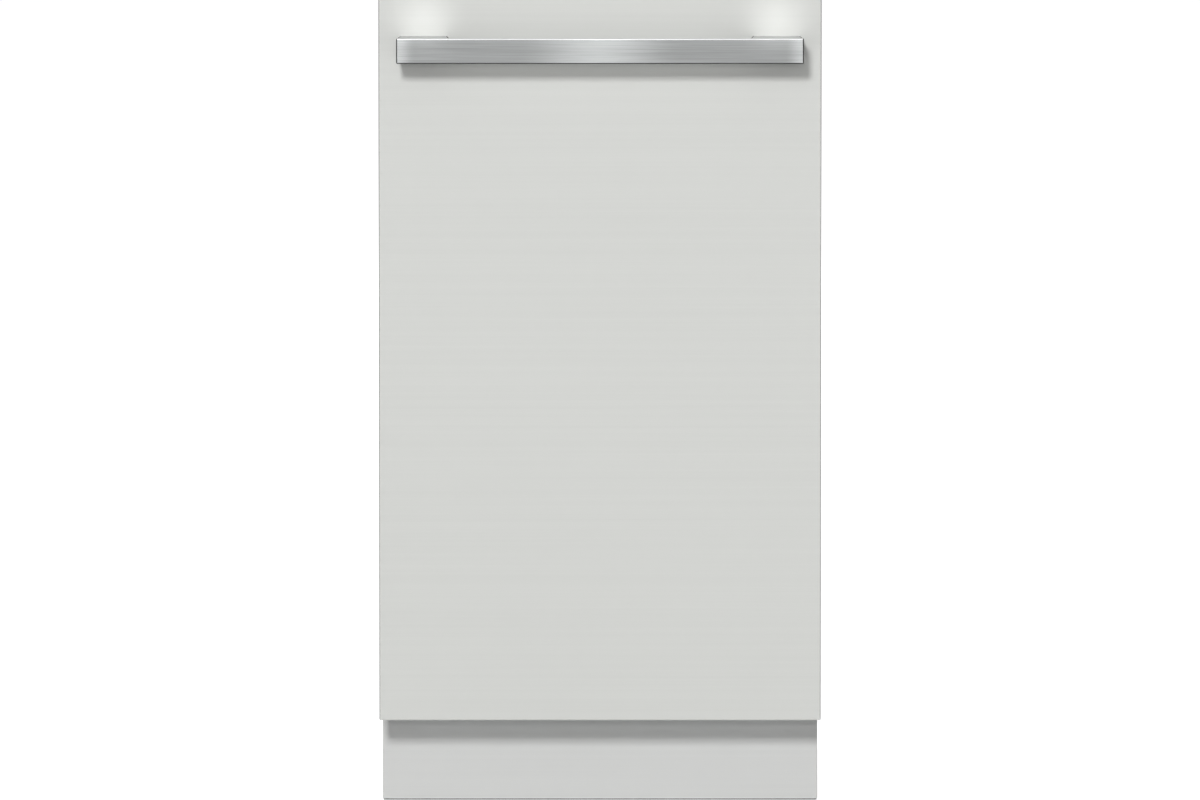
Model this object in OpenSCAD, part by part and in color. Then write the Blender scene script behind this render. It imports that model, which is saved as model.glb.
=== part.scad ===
// Slimline built-in dishwasher: steel front on two bracket feet, bar handle, set-back toe kick,
// stainless tub with two wire racks, a cutlery tray and three spray arms.
// Frame: +X to the right seen from the front, -Y to the front, +Z up. The origin is on the floor,
// under the middle of the box that holds the whole machine.

/* [Overall] */
// Width of the front panel, the widest piece
front_w = 448; // [446:1:456]
// Height from the floor to the top
overall_h = 822; // [812:1:850]
// Depth of the carcass behind the door; longer racks make it deeper
carcass_d = 498; // [490:1:520]
// Depth of the door without its front panel
door_d = 52; // [50:1:58]
// How far the carcass sides stand back from the edges of the front panel
carcass_inset = 2; // [1:0.5:4]

/* [Front panel] */
// Thickness of the front panel
panel_t = 20; // [16:1:22]
// Height of the panel's lower edge above the floor
panel_z = 89; // [84:1:92]
// Radius of the panel's upright front edges
panel_edge_r = 1.5; // [0.5:0.5:4]

/* [Handle] */
// Length of the handle bar
handle_l = 411; // [340:1:430]
// Height of the handle bar
handle_h = 25.5; // [20:0.5:34]
// Thickness of the handle bar, front to back
handle_bar_t = 9; // [6:0.5:14]
// Radius of the bar's long edges
handle_edge_r = 1.2; // [0.4:0.1:2.5]
// Distance from the panel to the front of the bar
handle_reach = 45; // [40:1:55]
// Distance from the top of the panel to the middle of the bar
handle_drop = 50; // [40:1:80]
// Width of a handle foot where it meets the bar
handle_foot_w = 54; // [40:1:70]
// How much narrower a foot is at the panel, on each side
handle_foot_taper = 2.5; // [0:0.5:6]
// Height of a handle foot
handle_foot_h = 24; // [18:0.5:34]
// Distance between the two screws of a foot
handle_screw_gap = 26; // [20:1:34]

/* [Toe kick] */
// Width of the toe kick
kick_w = 443; // [430:1:446]
// Height of the toe kick's upper edge above the floor
kick_top = 84; // [70:1:85]
// Air between the toe kick and the floor
kick_floor_gap = 1; // [0.5:0.5:4]
// How far the toe kick stands back from the front panel
kick_recess = 60; // [56:1:61]
// Depth of the toe kick's folded edges
kick_fold = 14; // [8:1:15]

/* [Carcass] */
// Sheet thickness of the side, rear and top panels
sheet_t = 1; // [0.8:0.1:1.4]
// Height of the underside of the base above the floor
base_z = 25; // [20:1:30]
// Wall thickness of the base moulding
base_wall = 3; // [2.5:0.5:4]
// Height of the base moulding's upright sides above the tub's underside
base_cradle = 12; // [8:1:20]
// How far the base moulding stands back behind the rear of the carcass
base_rear_inset = 22; // [21:1:23]
// Gap between the tub and a side panel
tub_side_gap = 22; // [20:1:26]
// Gap between the tub and the top cover
tub_roof_gap = 34; // [32:1:44]
// Gap between the tub and the rear of the carcass
tub_rear_gap = 22; // [18:1:30]
// Depth of the front frame
frame_d = 25; // [20:1:35]
// Width of the channel that holds the door gasket
channel_w = 11; // [9:0.5:13]
// Depth of the channel that holds the door gasket
channel_d = 12; // [9:0.5:14]
// Thickness of the sound insulation round the tub
felt_t = 6; // [4:0.5:7]
// Depth of the fields pressed into the outer panels
press_d = 3; // [1.5:0.5:3.5]

/* [Tub] */
// Sheet thickness of the tub
tub_t = 1; // [0.8:0.1:1.2]
// Height of the tub floor, inside, above the floor of the room
tub_floor_z = 144; // [144:1:146]
// Radius of the tub's upper edges and rear corners
tub_r = 20; // [12:1:24]
// Radius of the edges along the tub floor, small so that the wheels run on a flat track
tub_floor_r = 5; // [3:0.5:5.5]
// Outer radius of the dished middle of the tub floor
dish_r = 140; // [130:1:144]
// Depth of the dished middle of the tub floor
dish_depth = 16; // [12:1:18]
// Radius of the sump opening
sump_r = 96; // [92:1:100]
// Height of the ribs on the tub's side walls
tub_rib = 3; // [2:0.5:4]

/* [Door] */
// Distance from the carcass front to the door's pivot
pivot_back = 37.5; // [37:0.5:38.5]
// Height of the door's pivot above the floor
pivot_z = 107; // [106:0.5:107.5]
// Radius of the pivot pins
pivot_r = 4; // [3:0.5:5]
// Opening angle of the door
door_open_deg = 90; // [80:1:90]
// Distance from the top of the carcass to the top of the door
door_top_gap = 5; // [4:0.5:8]
// Height of the control strip on the door's upper edge
strip_h = 39; // [36:1:46]
// Wall thickness of the control strip
strip_wall = 2.5; // [2:0.5:3]
// Depth of the field pressed into the inner door
liner_recess = 12; // [9:1:14]
// Width of a hinge arm
arm_w = 18; // [14:1:22]
// Height of a hinge arm above the pivot
arm_h = 190; // [120:5:260]

/* [Racks] */
// Diameter of the long rack wires
wire_d = 4; // [3:0.5:5]
// Diameter of the thinner wires and tines
tine_d = 3.5; // [2.5:0.5:4]
// Outer width of both wire racks
rack_w = 356; // [340:2:358]
// Distance from the carcass front to the front of the racks
rack_setback = 30; // [28:1:40]
// Least distance from the longest rack to the tub's rear wall
rack_rear_gap = 38; // [34:1:40]
// Length of the lower rack, front to back
lower_rack_l = 405; // [360:5:410]
// Height of the lower rack's floor above the tub floor
lower_rack_lift = 42; // [41:1:50]
// Height of the lower rack's sides
lower_rack_h = 114; // [80:2:130]
// Length of the upper rack, front to back
upper_rack_l = 392; // [350:2:396]
// Height of the upper rack's floor above the tub floor
upper_rack_lift = 356; // [350:2:370]
// Height of the upper rack's sides
upper_rack_h = 110; // [90:2:120]
// How far the upper rack can be let down
rack_adjust = 40; // [20:5:45]
// Number of wires across a rack floor
cross_wires = 10; // [6:1:14]
// Number of wires along a rack floor
long_wires = 7; // [5:1:9]
// Number of tines in a row
tine_count = 10; // [5:1:12]
// Height of the tines
tine_h = 62; // [40:1:64]
// Radius of the lower rack's wheels
wheel_r = 17; // [14:0.5:17.5]
// Width of the lower rack's wheels
wheel_w = 10; // [7:0.5:11]
// Height of the telescopic rails
rail_h = 24; // [20:1:30]

/* [Cutlery tray] */
// Distance from the tub's roof down to the cutlery tray's underside
tray_drop = 83; // [80:1:92]
// Height of the cutlery tray's rim
tray_h = 35; // [28:1:38]
// Length of the cutlery tray, front to back
tray_l = 400; // [360:5:405]
// Wall and floor thickness of the cutlery tray
tray_wall = 2.5; // [2:0.5:3]
// Distance between the slots in the tray floor
slot_pitch = 26; // [22:1:40]

/* [Spray arms] */
// Radius swept by the lower and middle arms
arm_reach = 166; // [150:1:168]
// Radius swept by the top arm
top_arm_reach = 140; // [120:1:150]
// Thickness of a spray arm
arm_t = 12; // [9:0.5:13]
// Radius of the bearing that a spray arm turns on
bearing_r = 10; // [8:0.5:12]
// Diameter of the spray nozzles
nozzle_d = 3; // [2:0.5:4]

/* [Water parts] */
// Radius of the fine filter
filter_r = 38; // [34:1:39]
// Radius of the supply tube on the tub's rear wall
supply_r = 9; // [7:0.5:10]
// Radius of the salt container's neck
salt_r = 26; // [22:1:28]
// Radius of the water inlet's threaded spigot
inlet_r = 13.2; // [12:0.1:14]
// Length of the water inlet's threaded spigot
inlet_l = 16; // [12:1:17]
// Outer radius of the drain spigot
drain_r = 9.5; // [8:0.5:11]
// Length of the drain spigot
drain_l = 20; // [16:1:21]

/* [Feet] */
// Radius of a foot's threaded stem
stem_r = 5; // [4:0.5:6]
// Radius of a foot's pad
pad_r = 20; // [16:1:26]
// How far a foot can be turned out
foot_travel = 52; // [30:1:54]

/* [Fits] */
// Radial clearance of a running fit
fit_run = 0.06; // [0.02:0.01:0.1]
// Clearance between pieces that pass or nearly touch
fit_gap = 0.3; // [0.2:0.05:0.5]
// Gap between the closed door and the carcass
door_gap = 1; // [0.8:0.1:1.5]

/* [Hidden] */
$fn = 48;
over = 1;

// Depth positions, from the front
body_d = max(carcass_d, rack_setback + max(lower_rack_l, upper_rack_l, tray_l) + rack_rear_gap
    + tub_t + tub_rear_gap);
overall_d = handle_reach + panel_t + door_d + body_d;
y_rear = overall_d / 2;
y_carcass = y_rear - body_d;
y_liner = y_carcass - door_gap;
y_door = y_carcass - door_d;
y_panel = y_door - panel_t;
y_handle = y_panel - handle_reach;
y_kick = y_panel + kick_recess;
y_pivot = y_carcass - pivot_back;

// Carcass
carcass_hw = front_w / 2 - carcass_inset;
panel_top = overall_h - sheet_t;
tub_hw = carcass_hw - sheet_t - tub_side_gap;
tub_in = tub_hw - tub_t;
tub_z0 = tub_floor_z - tub_t;
tub_z1 = panel_top - tub_roof_gap;
tub_y1 = y_rear - tub_rear_gap;
tub_back = tub_y1 - tub_t;
tub_mid = (y_carcass + tub_back) / 2;
sill_lip_z = tub_z0 - 12;
base_hw = tub_hw + base_wall + fit_gap;
base_y0 = y_carcass + 5;
base_y1 = y_rear - base_rear_inset;
base_top = tub_z0;
frame_z0 = sill_lip_z;
panel_z0 = base_z;
rear_panel_z0 = tub_z0 + base_cradle + 2;

// Sump and what stands on it
hub_y = tub_mid;
sump_y = hub_y - 42;
filter_y = sump_y - 40;
sump_lip_z = tub_floor_z - dish_depth;
sump_bowl_r = sump_r - 12;
sump_bowl_z = 55;
lower_arm_z = tub_floor_z + 8;
supply_y = tub_back - supply_r - 3;
supply_top_z = tub_z1 - tub_t - supply_r - 5;
supply_low_z = 110;
salt_x = -140;
salt_y = tub_mid - 138;
inlet_x = -150;
drain_x = -60;
mains_x = 140;
connector_z = 98;

// Feet
foot_x = 165;
foot_y = y_carcass + 42;
rear_foot_y = base_y1 - 36;
boss_h = 40;
pad_t = 6;
float_x = 70;
float_y = tub_mid + 110;
float_lift = 10;

// Lower rack
rack_hw = rack_w / 2;
rack_y0 = y_carcass + rack_setback;
lower_z = tub_floor_z + lower_rack_lift;
upper_z = tub_floor_z + upper_rack_lift;
wheel_z = tub_floor_z + wheel_r + fit_gap;
wheel_x0 = rack_hw + 4;
wheel_ys = [rack_y0 + 52, rack_y0 + lower_rack_l - 60];
axle_r = 4;
layer = (wire_d + tine_d) / 2 - 0.35;
long_x = rack_hw - 32;
long_step = 2 * long_x / (long_wires - 1);
fold_x = -long_x + 4 * long_step;
fold_z = lower_z + layer + wire_d / 2 + tine_d / 2 + 1.2;
fold_y0 = rack_y0 + 30;
fold_y1 = rack_y0 + lower_rack_l - 60;

// Rails
rail_z = upper_z + 30;
rail_t = 1.5;
rail_x1 = tub_in - fit_gap;
rail_flange = 7.2;
rail_y0 = y_carcass + 7;
rail_l = 420;
middle_l = 400;
inner_l = 405;
carrier_x0 = rack_hw + 3;
adjuster_l = 70;
adjuster_y = rack_y0 + upper_rack_l / 2;
shelf_z = upper_z + 78;
shelf_x = -rack_hw + 9;
shelf_w = 84;
shelf_y0 = rack_y0 + 60;
shelf_y1 = rack_y0 + upper_rack_l - 60;

// Cutlery tray
tray_z = tub_z1 - tub_t - tray_drop;
tray_rail_z = tray_z + 12;
tray_rail_h = 20;

// Upper and top spray arms
feed_r = 6;
feed_z = upper_z - tine_d / 2 - feed_r - fit_gap;
middle_arm_z = feed_z - feed_r - 3 - arm_t;
top_arm_z = supply_top_z - supply_r - 2 - arm_t;
dock_l = 8;
dock_y = supply_y - supply_r - dock_l;

// Door
door_hw = carcass_hw - 2;
door_z0 = panel_z + 9;
door_top = overall_h - door_top_gap;
strip_z0 = door_top - strip_h;
liner_front = y_liner - sheet_t;
recess_y = y_liner - liner_recess;
recess_hw = 160;
recess_z0 = 175;
recess_z1 = strip_z0 - 32;
notch_x = base_hw - 0.8;
notch_top = pivot_z + 16;
handle_z = overall_h - handle_drop;
handle_foot_x = handle_l / 2 - handle_foot_w / 2;
button_y = y_liner - 26;
button_w = 16;
button_d = 11;
button_travel = 1.6;
power_x = -172;
program_x = -146;
start_x = 172;
hinge_x0 = base_hw;
hinge_t = 3.5;
arm_x0 = hinge_x0 + hinge_t + fit_gap + 0.4;
arm_t_sheet = 5;
tail_l = 24;
tail_hole_r = 1.6;
spring_wire_r = 1.1;
spring_r = 4;
spring_x = arm_x0 + arm_t_sheet - 0.5;
spring_turns = 20;
spring_pitch = 4.2;
spring_y0 = y_pivot + tail_l + 16;
spring_anchor_y = spring_y0 + spring_turns * spring_pitch + 16;

// Tabs at the top front
bracket_x = 170;
bracket_hw = 15;
bracket_l = 22;
bracket_out = 13;
bracket_hole_r = 2.25;

// Pumps and tank
pump_x0 = sump_bowl_r + 14;
pump_z = 80;
drain_pump_z = 72;
water_y0 = tub_mid - 100;
water_y1 = tub_mid + 160;
water_z0 = 200;
water_z1 = 556;

// Dispenser in the inner door
cup_x0 = -50;
cup_x1 = 8;
cup_z0 = 430;
cup_z1 = 498;
cup_depth = 26;
disp_x0 = -64;
disp_x1 = 78;
disp_z0 = 412;
disp_z1 = 566;
disp_flange_t = 3;
disp_face_y = recess_y + disp_flange_t;
lid_t = 3;
rinse_x = 34;
rinse_z = 536;
rinse_r = 17;

screw_r = 2.5;

// Latch
striker_z = door_top - 11;
striker_r = 2.5;
striker_y = y_carcass - 12;
claw_y = y_carcass - 33.5;
claw_z = striker_z - 7;
claw_pin_r = 2.5;

// Box between two corners
module slab(x0, x1, y0, y1, z0, z1) {
    translate([x0, y0, z0]) cube([x1 - x0, y1 - y0, z1 - z0]);
}

// Child and its mirror image across the middle plane
module both_sides() {
    children();
    mirror([1, 0, 0]) children();
}

// Outline in X and Z, drawn out along Y
module y_prism(y0, y1) {
    translate([0, y1, 0]) rotate([90, 0, 0]) linear_extrude(y1 - y0) children();
}

// Outline in Y and Z, drawn out along X
module x_prism(x0, x1) {
    translate([x0, 0, 0]) rotate([90, 0, 90]) linear_extrude(x1 - x0) children();
}

// Outline in X and Y, drawn out along Z
module z_prism(z0, z1) {
    translate([0, 0, z0]) linear_extrude(z1 - z0) children();
}

// Rectangle with four round corners
module round_rect(x0, x1, y0, y1, r) {
    translate([x0 + r, y0]) square([x1 - x0 - 2 * r, y1 - y0]);
    translate([x0, y0 + r]) square([x1 - x0, y1 - y0 - 2 * r]);
    for (x = [x0 + r, x1 - r], y = [y0 + r, y1 - r]) translate([x, y]) circle(r);
}

// Rectangle with its two upper corners round
module arch(hw, z0, z1, r) {
    translate([-hw, z0]) square([2 * hw, z1 - r - z0]);
    translate([-hw + r, z1 - r - over]) square([2 * (hw - r), r + over]);
    for (x = [-hw + r, hw - r]) translate([x, z1 - r]) circle(r);
}

// Round bars along the three axes
module bar_x(x0, x1, y, z, d) {
    translate([x0, y, z]) rotate([0, 90, 0]) cylinder(h = x1 - x0, d = d);
}
module bar_y(y0, y1, x, z, d) {
    translate([x, y0, z]) rotate([-90, 0, 0]) cylinder(h = y1 - y0, d = d);
}
module bar_z(z0, z1, x, y, d) {
    translate([x, y, z0]) cylinder(h = z1 - z0, d = d);
}

// Flat sheet lying in X and Y, outer face up at zero height, with a shallow field pressed down
module pressed_panel(x0, x1, y0, y1, margin, r) {
    difference() {
        union() {
            slab(x0, x1, y0, y1, -sheet_t, 0);
            z_prism(-sheet_t - press_d, -sheet_t / 2)
                round_rect(x0 + margin, x1 - margin, y0 + margin, y1 - margin, r);
        }
        z_prism(-press_d, over)
            round_rect(x0 + margin + sheet_t, x1 - margin - sheet_t,
                y0 + margin + sheet_t, y1 - margin - sheet_t, r - sheet_t);
    }
}

// Carcass

module foot_boss(x, y) {
    bar_z(base_z, base_z + boss_h, x, y, 2 * stem_r + 14);
}

module base_shell() {
    difference() {
        slab(-base_hw, base_hw, base_y0, base_y1, base_z, base_top + base_cradle);
        slab(-base_hw + base_wall, base_hw - base_wall, base_y0 + base_wall, base_y1 - base_wall,
            base_z + base_wall, base_top + base_cradle + over);
        slab(-base_hw - over, base_hw + over, base_y0 - over, base_y0 + base_wall + over,
            base_top - 20, base_top + base_cradle + over);
        slab(-base_hw - over, base_hw + over, base_y1 - base_wall - over, base_y1 + over,
            base_top, base_top + base_cradle + over);
        y_prism(base_y0 - over, base_y0 + base_wall + over)
            round_rect(-120, 120, base_z + 22, base_top - 30, 10);
    }
}

module base_tray() {
    ledge = 22;
    color([0.30, 0.31, 0.32]) difference() {
        union() {
            base_shell();
            // Floor flanges that reach the side panels
            both_sides() slab(base_hw - base_wall / 2, carcass_hw - sheet_t,
                y_carcass + frame_d, base_y1, base_z, base_z + base_wall);
            // Ledges that the tub stands on
            both_sides() slab(base_hw - base_wall - ledge, base_hw - base_wall / 2,
                base_y0, base_y1 - base_wall / 2, base_top - 4, base_top);
            slab(-base_hw + base_wall, base_hw - base_wall, base_y1 - base_wall - ledge,
                base_y1 - base_wall / 2, base_top - 4, base_top);
            // Stiffening ribs under the ledges
            both_sides() for (i = [0 : 4]) slab(base_hw - base_wall - ledge, base_hw - base_wall / 2,
                base_y0 + 20 + i * 95, base_y0 + 23 + i * 95, base_top - 30, base_top - 2);
            both_sides() foot_boss(foot_x, foot_y);
            foot_boss(0, rear_foot_y);
            // Arms that carry the toe kick
            both_sides() slab(foot_x - 8, foot_x + 8, y_kick + sheet_t, base_y0 + base_wall / 2,
                base_z + 12, base_z + 34);
            // Guide pin of the float
            bar_z(base_z + base_wall / 2, base_z + 40, float_x, float_y, 6);
            // Drain spigot with a barbed end
            bar_y(base_y1 - base_wall / 2, base_y1 + drain_l, drain_x, connector_z, 2 * drain_r);
            // Posts that carry the rear ends of the door springs
            both_sides() slab(base_hw - base_wall / 2, arm_x0 + arm_t_sheet - 2,
                spring_anchor_y - 6, spring_anchor_y + 6, pivot_z - 10, pivot_z + 10);
        }
        both_sides() bar_z(base_z - over, base_z + boss_h + over, foot_x, foot_y,
            2 * (stem_r + fit_run));
        bar_z(base_z - over, base_z + boss_h + over, 0, rear_foot_y, 2 * (stem_r + fit_run));
        bar_y(base_y1 - base_wall - over, base_y1 + drain_l + over, drain_x, connector_z,
            2 * drain_r - 5);
        bar_y(base_y1 - base_wall - over, base_y1 + over, inlet_x, connector_z,
            2 * (inlet_r + fit_gap));
        y_prism(base_y1 - base_wall - over, base_y1 + over)
            round_rect(mains_x - 15, mains_x + 15, connector_z - 11, connector_z + 11, 3);
        both_sides() bar_x(base_hw - over, arm_x0 + arm_t_sheet, spring_anchor_y, pivot_z,
            2 * tail_hole_r);
        // Room for the lower ends of the front frame
        both_sides() slab(tub_hw, base_hw + over, base_y0 - over, y_carcass + frame_d + fit_gap,
            frame_z0 - fit_gap, base_top + base_cradle + over);
        // Room for the supply tube in the rear ledge
        slab(-supply_r - 5, supply_r + 5, base_y1 - 2 * ledge, base_y1 - base_wall,
            base_top - 5, base_top + over);
    }
}

// Closed tub form, drawn in by the given amount
module tub_form(inset, y0) {
    hw = tub_hw - inset;
    intersection() {
        y_prism(y0, tub_y1 - inset) {
            arch(hw, tub_z0 + 2 * tub_r, tub_z1 - inset, tub_r - inset);
            round_rect(-hw, hw, tub_z0 + inset, tub_z0 + 3 * tub_r, tub_floor_r + tub_t - inset);
        }
        z_prism(tub_z0 - over, tub_z1 + over)
            round_rect(-tub_hw + inset, tub_hw - inset, y0 - 2 * tub_r, tub_y1 - inset,
                tub_r - inset);
    }
}

module tub_wall_rib(z) {
    x_prism(tub_in - tub_rib, tub_hw - tub_t / 2)
        round_rect(y_carcass + 45, tub_back - 45, z - 7, z + 7, 6);
}

module tub() {
    color([0.80, 0.81, 0.82]) difference() {
        union() {
            difference() {
                tub_form(0, y_carcass);
                tub_form(tub_t, y_carcass - over);
                bar_z(tub_z0 - over, tub_floor_z + over, 0, sump_y, 2 * dish_r);
            }
            both_sides() for (z = [lower_z + lower_rack_h + 40, upper_z - 30]) tub_wall_rib(z);
            // Dished middle of the floor, down to the sump opening
            difference() {
                translate([0, sump_y, sump_lip_z - tub_t])
                    cylinder(h = dish_depth + tub_t, r1 = sump_r, r2 = dish_r + tub_t, $fn = 96);
                translate([0, sump_y, sump_lip_z])
                    cylinder(h = dish_depth + 0.01, r1 = sump_r - tub_t, r2 = dish_r, $fn = 96);
                bar_z(sump_lip_z - 2 * tub_t, sump_lip_z + over, 0, sump_y, 2 * (sump_r - 8));
            }
            // Downturned lip of the sill
            slab(-tub_hw + tub_r, tub_hw - tub_r, y_carcass + 3, y_carcass + 3 + tub_t,
                sill_lip_z, tub_z0 + tub_t / 2);
        }
        bar_z(tub_z0 - over, tub_floor_z + over, salt_x, salt_y, 2 * (salt_r + fit_gap));
        bar_z(tub_z0 - over, tub_floor_z + over, 0, supply_y, 2 * (supply_r + fit_gap));
    }
}

module frame_ring(outer, inner, y0, y1) {
    y_prism(y0, y1) difference() {
        arch(tub_hw + outer, frame_z0, tub_z1 + outer, tub_r + outer);
        arch(tub_hw + inner, frame_z0 - over, tub_z1 + inner, tub_r + inner);
    }
}

module front_frame() {
    wall = 1.2;
    hub = fit_gap + wall;
    color([0.74, 0.75, 0.76]) {
        difference() {
            y_prism(y_carcass, y_carcass + frame_d) difference() {
                translate([-carcass_hw, frame_z0])
                    square([2 * carcass_hw, panel_top - frame_z0]);
                arch(tub_hw + fit_gap, frame_z0 - over, tub_z1 + fit_gap, tub_r + fit_gap);
            }
            frame_ring(hub + channel_w, hub, y_carcass - over, y_carcass + channel_d);
            y_prism(y_carcass + wall, y_carcass + frame_d + over) difference() {
                translate([-carcass_hw + wall, frame_z0 - over])
                    square([2 * (carcass_hw - wall), panel_top - frame_z0 + over - wall]);
                arch(tub_hw + hub + channel_w + wall, frame_z0 - 2 * over,
                    tub_z1 + hub + channel_w + wall, tub_r + hub + channel_w + wall);
            }
            y_prism(y_carcass + channel_d + wall, y_carcass + frame_d + over) difference() {
                arch(tub_hw + hub + channel_w + 2 * wall, frame_z0 - over,
                    tub_z1 + hub + channel_w + 2 * wall, tub_r + hub + channel_w);
                arch(tub_hw + hub, frame_z0 - 2 * over, tub_z1 + hub, tub_r + hub);
            }
        }
        // Striker loop that the door's latch closes on
        both_sides() bar_y(striker_y, y_carcass + wall / 2, 9, striker_z, 2 * striker_r);
        bar_x(-9, 9, striker_y, striker_z, 2 * striker_r);
        both_sides() translate([9, striker_y, striker_z]) sphere(striker_r, $fn = 32);
    }
}

module tub_gasket() {
    hub = fit_gap + 1.2;
    color([0.20, 0.20, 0.21]) {
        difference() {
            frame_ring(hub + channel_w - fit_gap, hub + fit_gap,
                y_carcass - 0.6, y_carcass + channel_d - fit_gap);
            frame_ring(hub + channel_w - 3, hub + 3, y_carcass - over, y_carcass + 3);
        }
        slab(-tub_hw + tub_r, tub_hw - tub_r, y_carcass - 0.6, y_carcass + 3,
            sill_lip_z, tub_z0 - 1);
    }
}

module side_panel() {
    y0 = y_carcass + frame_d;
    fold = 11;
    difference() {
        union() {
            translate([carcass_hw, 0, 0]) rotate([0, 90, 0])
                pressed_panel(-panel_top, -base_z, y0, y_rear, 46, 24);
            // Folded edges at the top and the rear
            slab(carcass_hw - fold, carcass_hw - sheet_t / 2, y0, y_rear,
                panel_top - sheet_t, panel_top);
            slab(carcass_hw - fold, carcass_hw - sheet_t / 2, y_rear - sheet_t, y_rear,
                base_z, panel_top);
        }
        slab(0, front_w, base_y1, y_rear + over, base_z - over, rear_panel_z0);
    }
}

module side_panel_left() { color([0.66, 0.68, 0.69]) mirror([1, 0, 0]) side_panel(); }
module side_panel_right() { color([0.66, 0.68, 0.69]) side_panel(); }

module rear_panel() {
    hw = carcass_hw - 11 - fit_gap;
    color([0.66, 0.68, 0.69]) {
        translate([0, y_rear, 0]) rotate([-90, 0, 0])
            pressed_panel(-hw, hw, -panel_top + sheet_t, -rear_panel_z0, 44, 24);
        // Shelf that closes the recess for the connectors
        slab(-hw, hw, base_y1, y_rear - sheet_t / 2, rear_panel_z0, rear_panel_z0 + sheet_t);
    }
}

module top_cover() {
    color([0.70, 0.72, 0.73]) difference() {
        translate([0, 0, overall_h])
            pressed_panel(-carcass_hw, carcass_hw, y_carcass, y_rear, 46, 24);
        both_sides() slab(bracket_x - bracket_hw - fit_gap, bracket_x + bracket_hw + fit_gap,
            y_carcass - over, y_carcass + bracket_l + fit_gap,
            overall_h - 2 * sheet_t, overall_h + over);
    }
}

// Felt wrapped over the tub's sides and roof, with a sheet behind it
module insulation() {
    color([0.16, 0.16, 0.17]) {
        y_prism(y_carcass + frame_d + 5, tub_y1 + fit_gap + felt_t) difference() {
            arch(tub_hw + fit_gap + felt_t, base_top + base_cradle + 6, tub_z1 + fit_gap + felt_t,
                tub_r + fit_gap + felt_t);
            arch(tub_hw + fit_gap, base_top + base_cradle + 5, tub_z1 + fit_gap, tub_r + fit_gap);
        }
        slab(-tub_hw - over, tub_hw + over, tub_y1 + fit_gap, tub_y1 + fit_gap + felt_t,
            base_top + base_cradle + 6, tub_z1 - tub_r);
    }
}

// Tabs at the top front that screw up into the worktop
module worktop_brackets() {
    color([0.74, 0.75, 0.76]) both_sides() difference() {
        z_prism(overall_h - sheet_t, overall_h)
            round_rect(bracket_x - bracket_hw, bracket_x + bracket_hw,
                y_carcass - bracket_out, y_carcass + bracket_l, 3);
        bar_z(overall_h - 2 * sheet_t, overall_h + over, bracket_x, y_carcass - bracket_out / 2,
            2 * bracket_hole_r);
        bar_z(overall_h - 2 * sheet_t, overall_h + over, bracket_x, y_carcass + bracket_l - 8, 4);
    }
}

module toe_kick() {
    hw = kick_w / 2;
    color([0.80, 0.81, 0.79]) difference() {
        slab(-hw, hw, y_kick, y_kick + kick_fold, kick_floor_gap, kick_top);
        slab(-hw + sheet_t, hw - sheet_t, y_kick + sheet_t, y_kick + kick_fold + over,
            kick_floor_gap - over, kick_top - sheet_t);
    }
}

// Water system

module sump() {
    hub_r = bearing_r;
    color([0.24, 0.25, 0.26]) difference() {
        union() {
            bar_z(sump_lip_z - 9, sump_lip_z - tub_t, 0, sump_y, 2 * (sump_r + 3));
            bar_z(sump_bowl_z, sump_lip_z - 8, 0, sump_y, 2 * sump_bowl_r);
            // Stubs to the two pumps and to the supply tube
            bar_x(sump_bowl_r - 5, pump_x0, sump_y, pump_z, 44);
            bar_x(-pump_x0, -sump_bowl_r + 8, sump_y, drain_pump_z, 30);
            bar_y(sump_y + sump_bowl_r - 4, sump_y + sump_bowl_r + 12, 0, supply_low_z,
                2 * supply_r);
        }
        difference() {
            bar_z(sump_bowl_z + base_wall, sump_lip_z + over, 0, sump_y,
                2 * (sump_bowl_r - base_wall));
            bar_z(sump_bowl_z, sump_lip_z + 2, 0, hub_y, 2 * hub_r);
        }
    }
    // Riser with the bearing of the lower spray arm and its cap
    color([0.24, 0.25, 0.26]) {
        bar_z(sump_lip_z - 2, lower_arm_z + arm_t + 2, 0, hub_y, 2 * hub_r);
        bar_z(lower_arm_z + arm_t + fit_gap, lower_arm_z + arm_t + 4, 0, hub_y, 2 * hub_r + 9);
        bar_z(lower_arm_z - 4, lower_arm_z - fit_gap, 0, hub_y, 2 * hub_r + 6);
    }
}

module filter_plate() {
    plate_t = 1.5;
    color([0.78, 0.79, 0.80]) difference() {
        bar_z(sump_lip_z, sump_lip_z + plate_t, 0, sump_y, 2 * (sump_r - tub_t - fit_gap));
        bar_z(sump_lip_z - over, sump_lip_z + plate_t + over, 0, filter_y,
            2 * (filter_r + fit_gap));
        bar_z(sump_lip_z - over, sump_lip_z + plate_t + over, 0, hub_y,
            2 * (bearing_r + fit_gap));
        // Perforations in the two crescents beside the filter and the riser
        for (ring = [0 : 2], k = [-5 : 5], side = [0, 180])
            rotate_about(sump_y, side + k * (9 + ring)) translate([58 + ring * 12, 0, 0])
                bar_z(sump_lip_z - over, sump_lip_z + plate_t + over, 0, 0, 4);
    }
}

// Child turned about an upright axis through the middle plane
module rotate_about(y, angle) {
    translate([0, y, 0]) rotate([0, 0, angle]) children();
}

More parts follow.
